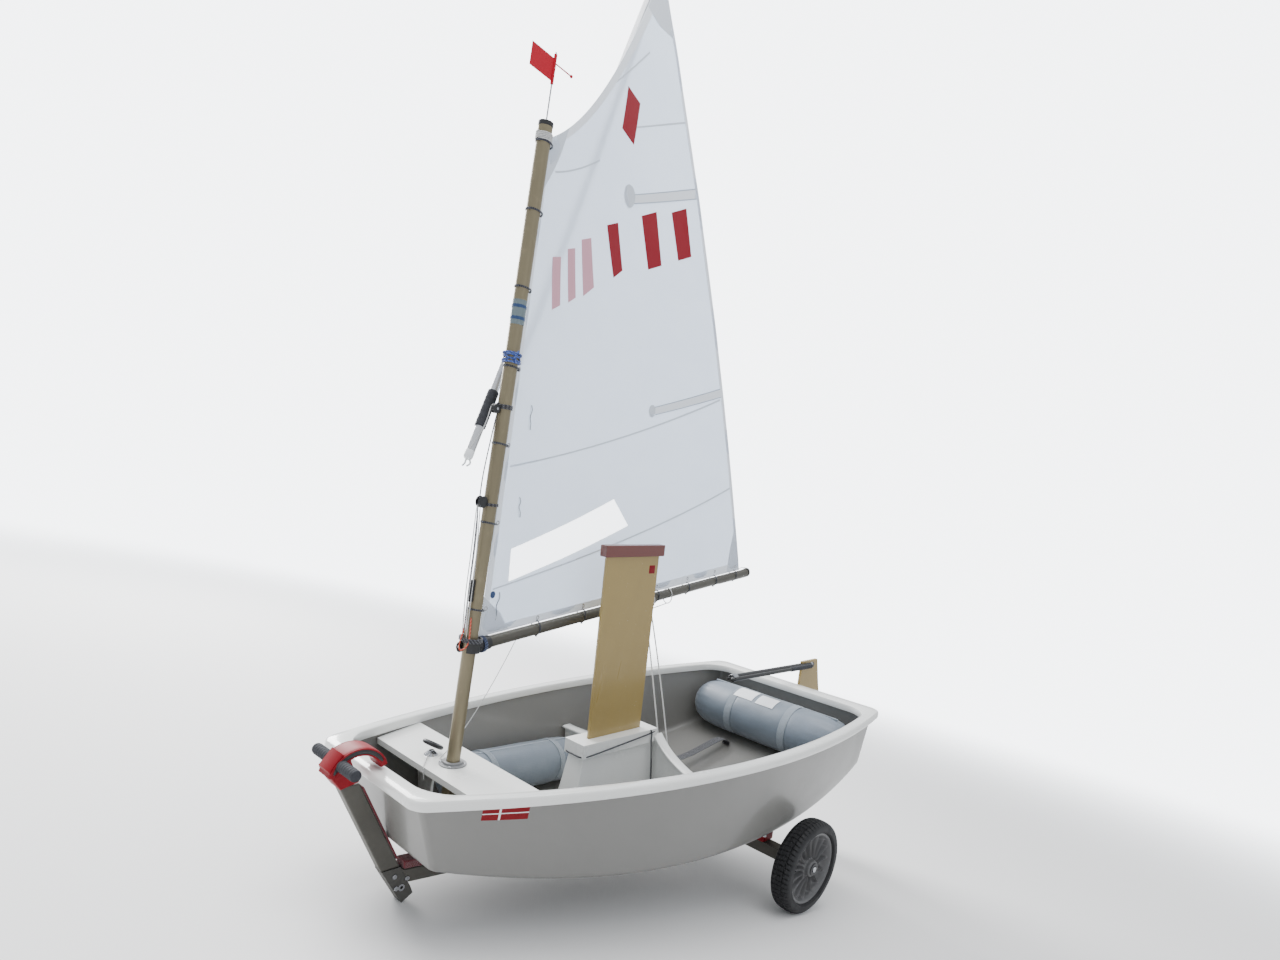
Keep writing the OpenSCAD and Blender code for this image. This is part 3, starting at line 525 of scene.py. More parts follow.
# Bow fairlead: a black rope ring on a riveted base, with a thin line led over the thwart's fore edge
lead = np.array((2.030, -0.104, THWART_Z))
turn = np.linspace(0, 2 * math.pi, 33)
surface("fairlead_base", [turned_on(hull(lead), UP, [(0, 0.016), (0.010, 0.015), (0.014, 0.010), (0.020, 0.005),
                                                    (0.024, 0), (0, 0)], 24)], "boat", stainless)
ring_path = lead + np.stack([0.030 * np.cos(turn) - 0.006, 0.024 * np.sin(turn), 0.034 + 0.016 * np.cos(turn)], 1)
surface("fairlead_ring", [sweep(hull(ring_path), ring(0.0068, 12), UP, closed=True)], "boat",
        black_plastic)


def braided(name, colour, fleck, strands=2, pitch=0.012):
    """Rope whose strands run round it in a helix, on the rope's own map: along in metres, round in turns."""
    f = Finish(name, colour, 0.75, Sheen_Weight=0.3)
    along, around = f.along_and_round()
    lay = ((along / pitch + around * strands) * (2 * math.pi)).wave()
    cross = ((along / pitch - around * strands) * (2 * math.pi)).wave()
    f.set(Base_Color=f.mix(lay.ease(0.55, 0.95), f.mix(f.noise(300, 2) * 0.3, colour, shaded(colour, 0.5)), fleck))
    return f.bump(lay * 0.5 + cross * 0.5, 0.0007)


dark_line = braided("dark line", tone(34, 36, 44), tone(90, 90, 100))
white_rope = braided("white rope", tone(214, 214, 210), tone(180, 184, 196), 3, 0.016)
red_line = braided("red line", tone(196, 62, 40), tone(230, 120, 90))
blue_rope = braided("blue rope", tone(40, 70, 150), tone(90, 120, 190))


def rope(name, path, radius, body, finish, up=(0.2, 0.9, 0.3), closed=False):
    """Round rope along a path; an open end is drawn in to half its thickness over one diameter."""
    path = np.asarray(path, float)
    scale = np.ones(len(path))
    if not closed:
        scale[[0, -1]] = 0.5
    return surface(name, [sweep(path, ring(radius, 10), up, scale, closed)], body, finish)


rope("fairlead_line", hull(smooth([lead + (0, 0, 0.010), (2.060, -0.080, THWART_Z + 0.003),
                                   (2.090, -0.045, THWART_Z + 0.003), (2.1105, -0.020, THWART_Z - 0.004),
                                   (2.1115, -0.012, THWART_Z - 0.040)])), 0.0015, "boat", white_rope)

# ---- Daggerboard trunk and midship frame -------------------------------------------------------
# The trunk is a moulded box over the slot with a thick rounded cap and a flared foot. Behind it the
# midship frame stiffens the bottom, with an arch to each side. Shock cord is stretched round the trunk.

FRAME_X, FRAME_T = 1.042, 0.018
SIDES = (("port", 1), ("starboard", -1))
eased("board_trunk", white_gelcoat, 0.011, 4, angle=50)
eased("midship_frame", white_gelcoat, 0.004, 3)
shock_cord = braided("shock cord", tone(28, 30, 36), tone(70, 74, 90), 4, 0.008)
TRUNK_AFT, TRUNK_FORE, TRUNK_TOP, CAP_HALF = 1.062, 1.470, 0.348, 0.054
turn = np.linspace(0, 2 * math.pi, 73)
squared = [np.sign(w) * np.abs(w) ** 0.28 for w in (np.cos(turn), np.sin(turn))]
cord_x = (TRUNK_AFT + TRUNK_FORE) / 2 + ((TRUNK_FORE - TRUNK_AFT) / 2 + 0.003) * squared[0]
rope("trunk_cord_fall", hull(smooth([(1.105, 0.054, TRUNK_TOP + 0.002), (1.100, 0.0585, TRUNK_TOP - 0.020),
                                     (1.098, 0.0585, TRUNK_TOP - 0.060), (1.092, 0.066, 0.200),
                                     (1.088, 0.076, 0.090)])), 0.0026, "boat", shock_cord, up=FORWARD)
arm_y = np.linspace(inner_y(FRAME_X + FRAME_T, 0.178) - 0.006, 0.046, 30)
arm_share = (arm_y[0] - arm_y) / (arm_y[0] - 0.046)
arm_z = 0.178 + 0.110 * arm_share ** 2.4 + 0.030 * arm_share ** 8
flange = np.array([[-0.023, -0.006], [-0.025, -0.002], [-0.024, 0.003], [-0.019, 0.006], [0.019, 0.006],
                   [0.024, 0.003], [0.025, -0.002], [0.023, -0.006], [-0.023, -0.006]])
for side_name, side in SIDES:
    arm_path = hull(np.stack([0 * arm_y + FRAME_X + FRAME_T / 2, side * arm_y, arm_z], 1))
    surface(side_name + "_frame_flange", [sweep(arm_path, flange * (side, 1), UP)], "boat", white_gelcoat)
rope("trunk_shock_cord", hull(np.stack([cord_x, (CAP_HALF + 0.003) * squared[1],
                                        TRUNK_TOP - 0.030 - 0.02 * squared[0]], 1)), 0.003, "boat",
     shock_cord, up=UP, closed=True)

# ---- Air bags ----------------------------------------------------------------------------------
# Long rolls of coated fabric, blown up hard: one across the stern and one along each side ahead of
# the midship frame. The ends are gathered, a welded seam runs along each, and straps hold them down.

bag_fabric = Finish("bag fabric", tone(128, 135, 142), 0.42, Coat_Weight=0.25, Coat_Roughness=0.35,
                    Sheen_Weight=0.2)
weave = bag_fabric.parts(bag_fabric.place((1100, 1100, 1100)))
weave = weave[0].wave() * weave[1].wave() + weave[2].wave() * 0.5
bag_patch = bag_fabric.noise(7, 4).ease(0.35, 0.7)
bag_fabric.set(Base_Color=bag_fabric.mix(bag_patch * 0.30 + weave * 0.03, tone(104, 115, 127), tone(82, 92, 104)),
               Roughness=bag_patch * 0.15 + 0.36)
bag_fabric.bump(weave * 0.12 + bag_fabric.noise(22, 4), 0.0016, 0.7)


def ribbed(name, roughness, ribs_per_turn, low, high, depth):
    """Flat webbing, ribbed along and across."""
    f = Finish(name, high, roughness, Sheen_Weight=0.3)
    along, around = f.along_and_round()
    ribs = (along * ribs_per_turn[0]).wave() * (around * ribs_per_turn[1]).wave()
    f.set(Base_Color=f.mix(ribs.ease(-1, 1), low, high))
    return f.bump(ribs, depth)


webbing = ribbed("strap webbing", 0.7, (2600, 260), tone(116, 127, 138), tone(140, 150, 160), 0.0005)
label_white = worn("label vinyl", tone(226, 229, 232), 0.35, 0.03, 0.06, 0.02, 0.00005)


def air_bag(node, start, end, radius, straps, up):
    """Roll from start to end: r(u) = R (1 - |2u - 1|^p)^(1/2) with puckers sin(k v) that fade away from the
    gathered ends, soft dents under the straps and a slack side where the fabric folds."""
    start, end = hull(start), hull(end)
    way = (end - start) / np.linalg.norm(end - start)
    start, end = start - way * (radius - 0.002), end + way * (radius - 0.002)
    length = np.linalg.norm(end - start)
    t = 0.5 - 0.5 * np.cos(np.linspace(0, math.pi, 130))
    v = np.linspace(0, 2 * math.pi, 97)
    power = 1.15 * length / radius
    shape = np.sqrt(np.clip(1 - np.abs(2 * t - 1) ** power, 0, 1))[:, None]
    gather = np.exp(-np.minimum(t, 1 - t) * length / (0.55 * radius))[:, None]
    pucker = gather * (0.030 * np.sin(17 * v) + 0.018 * np.sin(29 * v + 1.3)) * (shape > 0)
    dents = sum(0.030 * np.exp(-((t - s) * length / 0.016) ** 2) for s in straps)[:, None]
    slack = 0.006 * np.sin(v * 3 + 9 * t[:, None]) + 0.004 * np.sin(v * 5 - 23 * t[:, None])
    r = radius * shape * (0.985 + pucker * 0.8 - dents + slack - 0.012)
    centre = start + t[:, None] * (end - start)
    side = np.cross(way, up)
    side /= np.linalg.norm(side)
    rise = np.cross(side, way)
    grid = centre[:, None] + r[..., None] * (np.cos(v)[:, None] * side + np.sin(v)[:, None] * rise)
    bag = surface(node + "_roll", [grid], "boat", bag_fabric, [node], sharp=60)
    inflate(bag, radius)
    return start, end, side, rise, radius


LAST_STEP = 10


def inflate(bag, radius):
    """Blows the roll up as cloth under pressure, without weight, and keeps the result: no point moves
    further than a fiftieth of the roll's radius."""
    cloth = bag.modifiers.new("inflate", "CLOTH")
    settings = cloth.settings
    settings.quality, settings.mass = 5, 0.2
    settings.use_pressure, settings.uniform_pressure_force = True, 3.0
    settings.tension_stiffness = settings.compression_stiffness = 30
    settings.shear_stiffness, settings.bending_stiffness = 20, 0.8
    settings.effector_weights.gravity = 0
    cloth.point_cache.frame_start, cloth.point_cache.frame_end = 1, LAST_STEP
    before = np.zeros(len(bag.data.vertices) * 3)
    bag.data.vertices.foreach_get("co", before)
    for step in range(1, LAST_STEP + 1):
        bpy.context.scene.frame_set(step)
    blown = bag.evaluated_get(bpy.context.evaluated_depsgraph_get()).to_mesh()
    after = np.zeros(len(before))
    blown.vertices.foreach_get("co", after)
    bag.modifiers.remove(cloth)
    bpy.context.scene.frame_set(1)
    move = (after - before).reshape(-1, 3)
    far = np.linalg.norm(move, axis=1, keepdims=True)
    limit = 0.02 * radius
    move *= np.minimum(1, limit / np.maximum(far, 1e-9))
    bag.data.vertices.foreach_set("co", (before.reshape(-1, 3) + move).ravel())
    bag.data.update()


def flat_outline(wide, thick):
    """Closed outline of flat webbing."""
    return np.array([(-1, -1), (1, -1), (1, 1), (-1, 1), (-1, -1)]) * (wide / 2, thick / 2)


def strap(name, roll, share, first, last, wide=0.038):
    """Flat webbing over a roll, from one angle to another in degrees, following its curve."""
    start, end, side, rise, radius = roll
    way = (end - start) / np.linalg.norm(end - start)
    angle = np.radians(np.linspace(first, last, 40))[:, None]
    centre = start + share * (end - start)
    out = np.cos(angle) * side + np.sin(angle) * rise
    path = centre + out * (radius * 0.962 + 0.0016)
    half = flat_outline(wide, 0.0024)
    grid = path[:, None] + half[:, 0, None] * way + half[:, 1, None] * out[:, None]
    return surface(name, [grid], "boat", webbing)


def on_roll(name, roll, along, angles, finish, stand=0.0022):
    """Thin patch that lies on a roll between two places along it, in shares, and two angles in degrees."""
    start, end, side, rise, radius = roll
    u = np.linspace(*along, 12)
    v = np.radians(np.linspace(*angles, 16))
    out = np.cos(v)[:, None] * side + np.sin(v)[:, None] * rise
    base = start + u[:, None, None] * (end - start)
    thin_patch(name, base + out * (radius * 0.978 + stand), base + out * (radius * 0.93), "boat", finish, "bag_fabric")


STERN_BAG_X, STERN_BAG_R, SIDE_BAG_R = 0.158, 0.122, 0.095


def bag_line(x, radius):
    """Height of a roll's middle where it rests on the bottom."""
    slope = (chine_z(x + 0.001) - chine_z(x - 0.001)) / 0.002
    return floor_z(x) + radius * math.hypot(1, slope) + 0.0006


stern_z = bag_line(STERN_BAG_X, STERN_BAG_R)
reach = inner_y(STERN_BAG_X + 0.06, stern_z - 0.06) - STERN_BAG_R - 0.012
stern_roll = air_bag("stern_bag", (STERN_BAG_X, -reach, stern_z), (STERN_BAG_X, reach, stern_z), STERN_BAG_R,
                     (0.30, 0.66), UP)
for side_name, share in (("starboard", 0.30), ("port", 0.66)):
    strap("stern_strap_" + side_name, stern_roll, share, -60, 200)
on_roll("stern_label_port", stern_roll, (0.445, 0.56), (50, 84), label_white)
on_roll("stern_label_starboard", stern_roll, (0.295, 0.42), (52, 90), label_white)
on_roll("stern_seam", stern_roll, (0.10, 0.90), (92, 97), webbing, 0.0006)
for side_name, side in SIDES:
    ends = [(x, side * (inner_y(x, floor_z(x) + 0.060) - SIDE_BAG_R - 0.008), bag_line(x, SIDE_BAG_R))
            for x in (FRAME_X + FRAME_T + 0.118, THWART_AFT - 0.125)]
    roll = air_bag(side_name + "_bag", *ends, SIDE_BAG_R, (0.25, 0.75), UP)
    for where, share in (("aft", 0.25), ("fore", 0.75)):
        strap(f"{side_name}_strap_{where}", roll, share, -40, 220, 0.030)
    on_roll(side_name + "_seam", roll, (0.10, 0.90), (92, 97), webbing, 0.0006)

# ---- Mainsheet block, hiking straps and bottom fittings ----------------------------------------
# The block stands on a plate on the floor and takes the white mainsheet. Flat hiking straps run from
# the midship frame to the stern, and hold the sailor's feet.

BLOCK_X = 0.900
block_top = floor_z(BLOCK_X) + 0.060
eased("sheet_block", black_plastic, 0.0012)
surface("block_pin", [turned_on(hull((BLOCK_X, -0.015, block_top - 0.004)), PORT,
                                [(0, -0.001), (0.005, 0), (0.006, 0.002), (0.006, 0.028), (0.005, 0.030),
                                 (0, 0.031)], 16)], "boat", stainless)
hiking = ribbed("hiking strap", 0.8, (2400, 300), tone(24, 25, 30), tone(58, 60, 68), 0.0006)
flat_band = flat_outline(0.040, 0.002)
for side_name, side in SIDES:
    path = smooth([(FRAME_X - 0.001, side * 0.105, floor_z(1.042) + 0.110), (0.95, side * 0.115, floor_z(0.95) + 0.085),
                   (0.62, side * 0.135, floor_z(0.62) + 0.060), (0.36, side * 0.150, floor_z(0.36) + 0.055),
                   (0.285, side * 0.155, floor_z(0.285) + 0.020), (0.280, side * 0.155, floor_z(0.28) + 0.002)], 8)
    surface(side_name + "_hiking_strap", [sweep(hull(path), flat_band, UP)], "boat", hiking)

# ---- Rudder, tiller and extension --------------------------------------------------------------
# An epoxy-faced blade hung on two stainless pintles. The black tube tiller passes through its head,
# and the extension lies on top of it, joined by a rubber joint with a metal collar.

def epoxy(name, colour):
    """Gel-coated foil: long soft streaks up the foil that vary its roughness and darken its colour in vertical bands as
    a painted sheen, a dull clear coat and a few chips of lighter colour.
    """
    f = Finish(name, colour, 0.32, Coat_Weight=0.4, Coat_Roughness=0.15)
    sheen_streaks = f.noise(3, 2, (7, 3, 0.5)).ease(0.2, 0.8)
    cloud = f.noise(3, 3).ease(0.3, 0.7)
    chips = f.noise(120, 2).ease(0.71, 0.74)
    # Painted sheen: the streaks darken the colour in long vertical bands.
    base = f.mix(sheen_streaks * 0.22, colour, shaded(colour, 0.78))
    base = f.mix(cloud * 0.25, base, shaded(colour, 1.18))
    f.set(Base_Color=f.mix(chips * 0.35, base, tone(214, 204, 180)), Roughness=sheen_streaks * 0.12 + 0.26)
    return f.bump(f.noise(40, 3, (3, 3, 0.5)), 0.0003)


epoxy_foil = epoxy("epoxy foil", tone(150, 128, 74))
black_tube = worn("black tube", tone(22, 23, 25), 0.30, 0.15, 0.12, 0.15, 0.00005, Coat_Weight=0.2)
eased("rudder_gudgeons", stainless, 0.0006)
eased("rudder_pintles", stainless, 0.0006)
eased("rudder_blade", epoxy_foil, 0.0055, 3)
eased("tiller", black_tube, 0.002)
eased("tiller_extension", black_tube, 0.0025)
TILLER_HEEL, TILLER_Z, TILLER_TILT = -0.165, 0.465, math.radians(1.1)
tiller_way = np.array([math.cos(TILLER_TILT), 0, math.sin(TILLER_TILT)])


def on_tiller(along, port=0.0):
    """Place on the tiller: along it from its heel, and to port of it."""
    return hull(np.array([TILLER_HEEL, 0, TILLER_Z]) + tiller_way * along + np.array([0, port, 0]))


tiller_axis = tiller_way @ keel_tilt
surface("tiller_collar", [turned_on(on_tiller(0.655), tiller_axis,
                                    [(0.0142, 0), (0.0160, 0.001), (0.0165, 0.004), (0.0165, 0.026),
                                     (0.0160, 0.029), (0.0142, 0.030), (0.0142, 0)], 32),
                          turned_on(on_tiller(0.012), tiller_axis,
                                    [(0.0142, 0), (0.0165, 0.002), (0.0165, 0.012), (0.0142, 0.014),
                                     (0.0142, 0)], 32)], "rudder", stainless)
foam = Finish("foam grip", tone(34, 36, 42), 0.85)
foam.set(Base_Color=foam.mix(foam.noise(90, 4), tone(26, 27, 32), tone(58, 60, 66)))
foam.bump(foam.noise(700, 3) + foam.noise(120, 2), 0.0006)
grip_path = np.linspace(0, 1, 40)
surface("extension_grip", [turned_on(on_tiller(0.050, 0.025), tiller_axis, np.concatenate([
    [(0.009, 0)], np.stack([0.0115 + 0.0006 * np.sin(grip_path * 60), 0.004 + 0.180 * grip_path], 1),
    [(0.009, 0.188), (0.009, 0)]]), 20)], "rudder", foam)
surface("rudder_bolts", [turned_on(hull((-0.046 - x, side * 0.0095, z + 0.0083)), PORT * side,
                                   [(0, 0.0035), (0.004, 0.003), (0.0055, 0.0012), (0.0055, -0.001), (0, -0.001)], 12)
                         for x in (0.040, 0.085) for side in (1, -1)
                         for z in (0.108 + 0.042 + 0.0143, 0.380 - 0.090 + 0.0143)],
        "rudder", stainless)

# ---- Daggerboard -------------------------------------------------------------------------------
# A long flat foil of the same epoxy lay-up, half drawn up through its trunk, with a varnished handle
# across its top and a small plain square near its head.

BOARD_AFT, BOARD_TOP, BOARD_T = 1.118, 1.058, 0.015
eased("daggerboard", epoxy_foil, 0.0045, 3)
handle_wood = Finish("varnished handle", tone(124, 62, 50), 0.30, Coat_Weight=0.5, Coat_Roughness=0.12)
grain = handle_wood.noise(14, 5, (1.5, 16, 16))
rings_ = ((handle_wood.parts(handle_wood.place())[1] * 700 + grain * 9).wave()).ease(-0.2, 1)
handle_wood.set(Base_Color=handle_wood.mix(rings_ * 0.5 + grain * 0.2, tone(98, 40, 32), tone(62, 24, 21)),
                Roughness=grain * 0.2 + 0.22)
handle_wood.bump(rings_, 0.0002)
eased("board_handle", handle_wood, 0.009, 4)
red_vinyl = worn("red vinyl", tone(120, 8, 20), 0.45, 0.05, 0.06, 0.0, 0.00004, Specular_IOR_Level=0.2)


def plate(name, corners, thick, out, body, finish):
    """Thin flat patch with rounded corners, from four corners, standing out along `out` from its base."""
    corners, out = np.asarray(corners, float), np.asarray(out, float)
    bend = np.radians(np.linspace(0, 90, 5))[:, None]
    edge = []
    for k in range(4):
        c, before, after = corners[k], corners[k - 1], corners[(k + 1) % 4]
        u, v = [(w - c) / np.linalg.norm(w - c) * 0.003 for w in (before, after)]
        edge.append(c + u * (1 - np.sin(bend)) + v * (1 - np.cos(bend)))
    edge = np.concatenate(edge + [edge[0][:1]])
    centre = edge.mean(0)
    layers = np.stack([edge, edge + out * thick * 0.8, centre + (edge - centre) * 0.985 + out * thick])
    return surface(name, [layers], body, finish)


patch = [(BOARD_AFT + 0.020 + a, 0, BOARD_TOP - 0.075 + b) for a, b in ((0, 0), (0.032, 0), (0.032, 0.032), (0, 0.032))]
for side_name, side in SIDES:
    plate("board_square_" + side_name, hull(np.array(patch) + (0, side * BOARD_T / 2, 0)), 0.0006,
          PORT * side, "daggerboard", red_vinyl)

# ---- Decal on the port side --------------------------------------------------------------------
# A plain red strip with a thin white cross, stuck on just under the rail near the bow.

def on_side(x, share, stand):
    """Place on the port topside: station x and share of the height from chine to sheer."""
    y = chine_y(x) + (rail_y(x) - RAIL_LIP - chine_y(x)) * share + stand
    z = chine_z(x) + (rail_z(x) - RAIL_DEEP - chine_z(x)) * share
    return hull(np.stack([x, y, z], -1))


def side_patch(name, x, share, finish, stand):
    """Patch on the topside between two stations and two shares of its height, following its curve."""
    x, share = np.meshgrid(np.linspace(*x, 9), np.linspace(*share, 4), indexing="ij")
    thin_patch(name, on_side(x, share, stand), on_side(x, share, -0.0002), "boat", finish, "hull_gelcoat")


side_patch("side_strip", (1.985, 2.125), (0.80, 0.975), red_vinyl, 0.0004)
side_patch("side_strip_bar", (1.985, 2.125), (0.880, 0.893), label_white, 0.0008)
side_patch("side_strip_post", (2.070, 2.076), (0.80, 0.975), label_white, 0.0008)

# ---- Mast --------------------------------------------------------------------------------------
# An anodised aluminium tube with a plug in its head. Two bands of tape are wound over a thin sleeve at
# mid height, and a rope lashing holds the sail's throat to its top.

BOOM_SWING, BOOM_RISE, BOOM_UP, BOOM_R, BOOM_LEN = math.radians(11.18), math.radians(7.8), 0.395, 0.020, 2.050
MAST_TOP = 2.0067
c, s = math.cos(BOOM_SWING), math.sin(BOOM_SWING)
swing = np.array([[c, s, 0], [-s, c, 0], [0, 0, 1]])
mast_foot = np.array(joint["boom_swing"]["pos_m"])


def rig(points):
    """Points given along the mast (ahead of it, square to the boom's plane, above the thwart)."""
    return np.asarray(points, float) @ swing @ mast_tilt + mast_foot


def boom(points):
    """Points given along the boom (above it, to its side, outwards from the mast's middle)."""
    return rig(np.asarray(points, float) @ tilt(-math.pi / 2 + BOOM_RISE) + (0, 0, BOOM_UP))


MAST_WAY = np.array([0, 0, 1.0]) @ swing @ mast_tilt
BOOM_WAY = boom((0, 0, 1)) - boom((0, 0, 0))


def anodised(name, colour, roughness=0.34):
    """Drawn tube, anodised: fine lines along it, scuffs and duller patches."""
    f = Finish(name, colour, roughness, Metallic=0.55)
    lines = f.noise(30, 4, (12, 12, 0.5))
    scuff = f.noise(26, 4).ease(0.56, 0.70)
    dull = f.noise(4, 3).ease(0.35, 0.7)
    base = f.mix(lines * 0.25 + dull * 0.25, colour, shaded(colour, 0.62))
    f.set(Base_Color=f.mix(scuff * 0.25, base, shaded(colour, 1.45)),
          Roughness=scuff * 0.16 + dull * 0.10 + lines * 0.06 + (roughness - 0.06))
    return f.bump(lines, 0.0001)


spar_anodised = anodised("gold spar", tone(128, 119, 96), 0.38)
boom_anodised = anodised("dark spar", tone(82, 80, 73), 0.40)
sprit_aluminium = anodised("silver spar", tone(200, 202, 206), 0.30)
eased("mast", spar_anodised, 0)
eased("mast_plug", black_plastic, 0.002)
blue_tape = worn("blue tape", tone(34, 62, 104), 0.38, 0.1, 0.08, 0.02, 0.00003)
mast_sleeve = Finish("mast sleeve", tone(112, 128, 134), 0.16, Alpha=0.72, Coat_Weight=0.5)
mast_sleeve.bump(mast_sleeve.noise(60, 2), 0.0004)


def bands(name, heights, wide, stand, finish):
    """Thin closed bands round the mast."""
    inside, outside = MAST_R + 0.0001, MAST_R + stand
    base = [(inside, -wide / 2), (outside, -wide / 2 + 0.0005), (outside, wide / 2 - 0.0005), (inside, wide / 2),
            (inside, -wide / 2)]
    surface(name, [turned_on(rig((0, 0, h)), MAST_WAY, base, 40) for h in heights], "rig", finish)


bands("mast_tape", (1.438, 1.474), 0.010, 0.0014, blue_tape)
bands("mast_sleeve", (1.456,), 0.075, 0.0010, mast_sleeve)


def coil(spar, middle, radius, turns, lead):
    """Helix round a spar: turns of the given radius, rising by lead each turn."""
    t = np.linspace(0, turns, turns * 20 + 1)
    angle = 2 * math.pi * t
    return spar(np.stack([radius * np.cos(angle), radius * np.sin(angle), middle + lead * (t - turns / 2)], 1))


rope("head_lashing", coil(rig, MAST_TOP - 0.030, MAST_R + 0.0022, 5, 0.0046), 0.0020, "rig", white_rope,
     up=MAST_WAY)
KNOT_Z = 1.318
knot = np.linspace(0, 2 * math.pi * 7, 260)
knot_r = MAST_R + 0.0045 + 0.0020 * np.sin(knot * 2.3)
rope("mast_knot", rig(np.stack([knot_r * np.cos(knot), knot_r * np.sin(knot),
                                KNOT_Z + 0.015 * np.sin(knot * 0.43 + 0.4)], 1)), 0.0024, "rig", blue_rope,
     up=MAST_WAY)
bow = [(MAST_R * fore_share, MAST_R + out, KNOT_Z + rise) for fore_share, out, rise in
       ((0.7, 0.002, -0.006), (0.9, 0.014, 0.012), (0.4, 0.012, 0.018), (0.5, 0.004, -0.002), (0.8, 0.013, -0.018))]
surface("mast_knot_bow", [sweep(rig(smooth(bow)), ring(0.0022, 8), (0.2, 0.4, 0.9))], "rig", blue_rope)

# ---- Boom and its fittings ---------------------------------------------------------------------
# A second, darker tube with moulded jaws that clip round the mast, an end cap that takes the outhaul,
# and rope loops below it that the sheet blocks hang from.

eased("boom", boom_anodised, 0)
eased("boom_jaws", black_plastic, 0.003)
eased("boom_cap", black_plastic, 0.002)
surface("jaw_hook", [sweep(rig(smooth([(MAST_R + 0.010, 0, BOOM_UP - 0.008), (MAST_R + 0.026, 0, BOOM_UP - 0.010),
                                       (MAST_R + 0.036, 0, BOOM_UP + 0.004), (MAST_R + 0.032, 0, BOOM_UP + 0.018)])),
                           ring(0.0045, 10), PORT, scale=np.linspace(1.1, 0.6, 31))], "rig", black_plastic)
rope("preventer", rig(smooth([(MAST_R + 0.004, -0.012, BOOM_UP + 0.100), (MAST_R + 0.009, -0.006, BOOM_UP + 0.060),
                              (MAST_R + 0.030, 0.002, BOOM_UP + 0.012), (MAST_R + 0.026, 0.010, BOOM_UP - 0.006),
                              (MAST_R + 0.008, 0.020, BOOM_UP + 0.020), (MAST_R + 0.003, 0.012, BOOM_UP + 0.100)])),
     0.0022, "rig", red_line)
rope("outhaul", boom(smooth([(0.030, 0, BOOM_LEN - 0.105), (0.034, 0.004, BOOM_LEN - 0.05),
                             (0.020, 0.006, BOOM_LEN + 0.020), (0.0, 0.0135, BOOM_LEN + 0.024),
                             (-0.020, 0.006, BOOM_LEN + 0.004), (-0.0235, 0, BOOM_LEN - 0.10),
                             (-0.0225, 0, BOOM_LEN - 0.30)])), 0.0018, "rig", white_rope)
SHEET_OUTS = (0.955, 1.102, 1.249)
for number, out in enumerate(SHEET_OUTS):
    turn = np.linspace(0, 2 * math.pi, 33)
    loop = boom(np.stack([-0.010 + 0.0345 * np.cos(turn), 0.0235 * np.sin(turn), out + 0 * turn], 1))
    rope(f"strop_{number}", loop, 0.0021, "rig", white_rope, up=BOOM_WAY, closed=True)
strop_low = boom((-0.050, 0, SHEET_OUTS[1]))
sling = smooth([(-0.045, 0, SHEET_OUTS[0]), (-0.048, 0, SHEET_OUTS[0] + 0.07), (-0.050, 0, SHEET_OUTS[1]),
                (-0.048, 0, SHEET_OUTS[2] - 0.07), (-0.045, 0, SHEET_OUTS[2])])
rope("sheet_sling", boom(sling), 0.0020, "rig", white_rope)
SHEAVE = [(0, -0.007), (0.014, -0.007), (0.0155, -0.0055), (0.0150, -0.002), (0.0125, 0), (0.0150, 0.002),
          (0.0155, 0.0055), (0.014, 0.007), (0, 0.007)]
sail_side = rig((0, 1, 0)) - rig((0, 0, 0))
block_hang = boom((-0.072, 0, SHEET_OUTS[1]))
surface("boom_block", [turned_on(block_hang, sail_side, SHEAVE, 28),
                       sweep(np.linspace(strop_low, block_hang, 4), ring(0.004, 8), sail_side)], "rig",
        black_plastic)


def sheet_part(name, low, high, sag):
    """Length of mainsheet between the floor block and the boom, with a slight sag towards the stern."""
    t = np.linspace(0, 1, 30)[:, None]
    path = low + t * (high - low) - FORWARD * sag * 4 * t * (1 - t)
    grid = sweep(path, ring(0.0030, 10), PORT)
    piece = surface(name, [grid], None, white_rope)
    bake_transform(piece)


floor_block = hull((BLOCK_X, 0, block_top - 0.004))
sheet_part("mainsheet_fore", floor_block + FORWARD * 0.0265, block_hang + FORWARD * 0.017, 0.004)
sheet_part("mainsheet_aft", floor_block - FORWARD * 0.0265, block_hang - FORWARD * 0.017, 0.010)

# ---- Sail --------------------------------------------------------------------------------------
# Panels of white laminated cloth with a taped edge, two batten pockets at the leech and a clear window
# low at the luff, so the sailor can see through. It is cut with a roach and a hollow head.

TACK, THROAT = np.array([-0.0355, 0, 0.4251]), np.array([-0.028, 0, 1.9887])
CLEW, PEAK = np.array([-1.945, 0, 0.6867]), np.array([-0.748, -0.206, 2.9477])
LEECH_PULL = CLEW + (PEAK - CLEW) * 0.528 - (0.168, 0.005, 0)
HEAD_PULL = THROAT + (PEAK - THROAT) * 0.517 - (0, -0.003, 0.266)
BELLY = 0.036


def sail_point(s, t):
    """Place on the sail, s from luff to leech and t from foot to head: the straight blend of luff and leech,
    plus that of foot and head, less that of the four corners, less a belly sin(180 s) sin(180 t)."""
    s, t = np.asarray(s, float)[..., None], np.asarray(t, float)[..., None]
    luff = TACK + (THROAT - TACK) * t
    leech = (1 - t) ** 2 * CLEW + 2 * t * (1 - t) * LEECH_PULL + t * t * PEAK
    foot = TACK + (CLEW - TACK) * s
    head = (1 - s) ** 2 * THROAT + 2 * s * (1 - s) * HEAD_PULL + s * s * PEAK
    corners = (1 - s) * (1 - t) * TACK + s * (1 - t) * CLEW + (1 - s) * t * THROAT + s * t * PEAK
    belly = BELLY * np.sin(math.pi * s) * np.sin(math.pi * t)
    return (1 - s) * luff + s * leech + (1 - t) * foot + t * head - corners - belly * np.array([0, 1, 0])


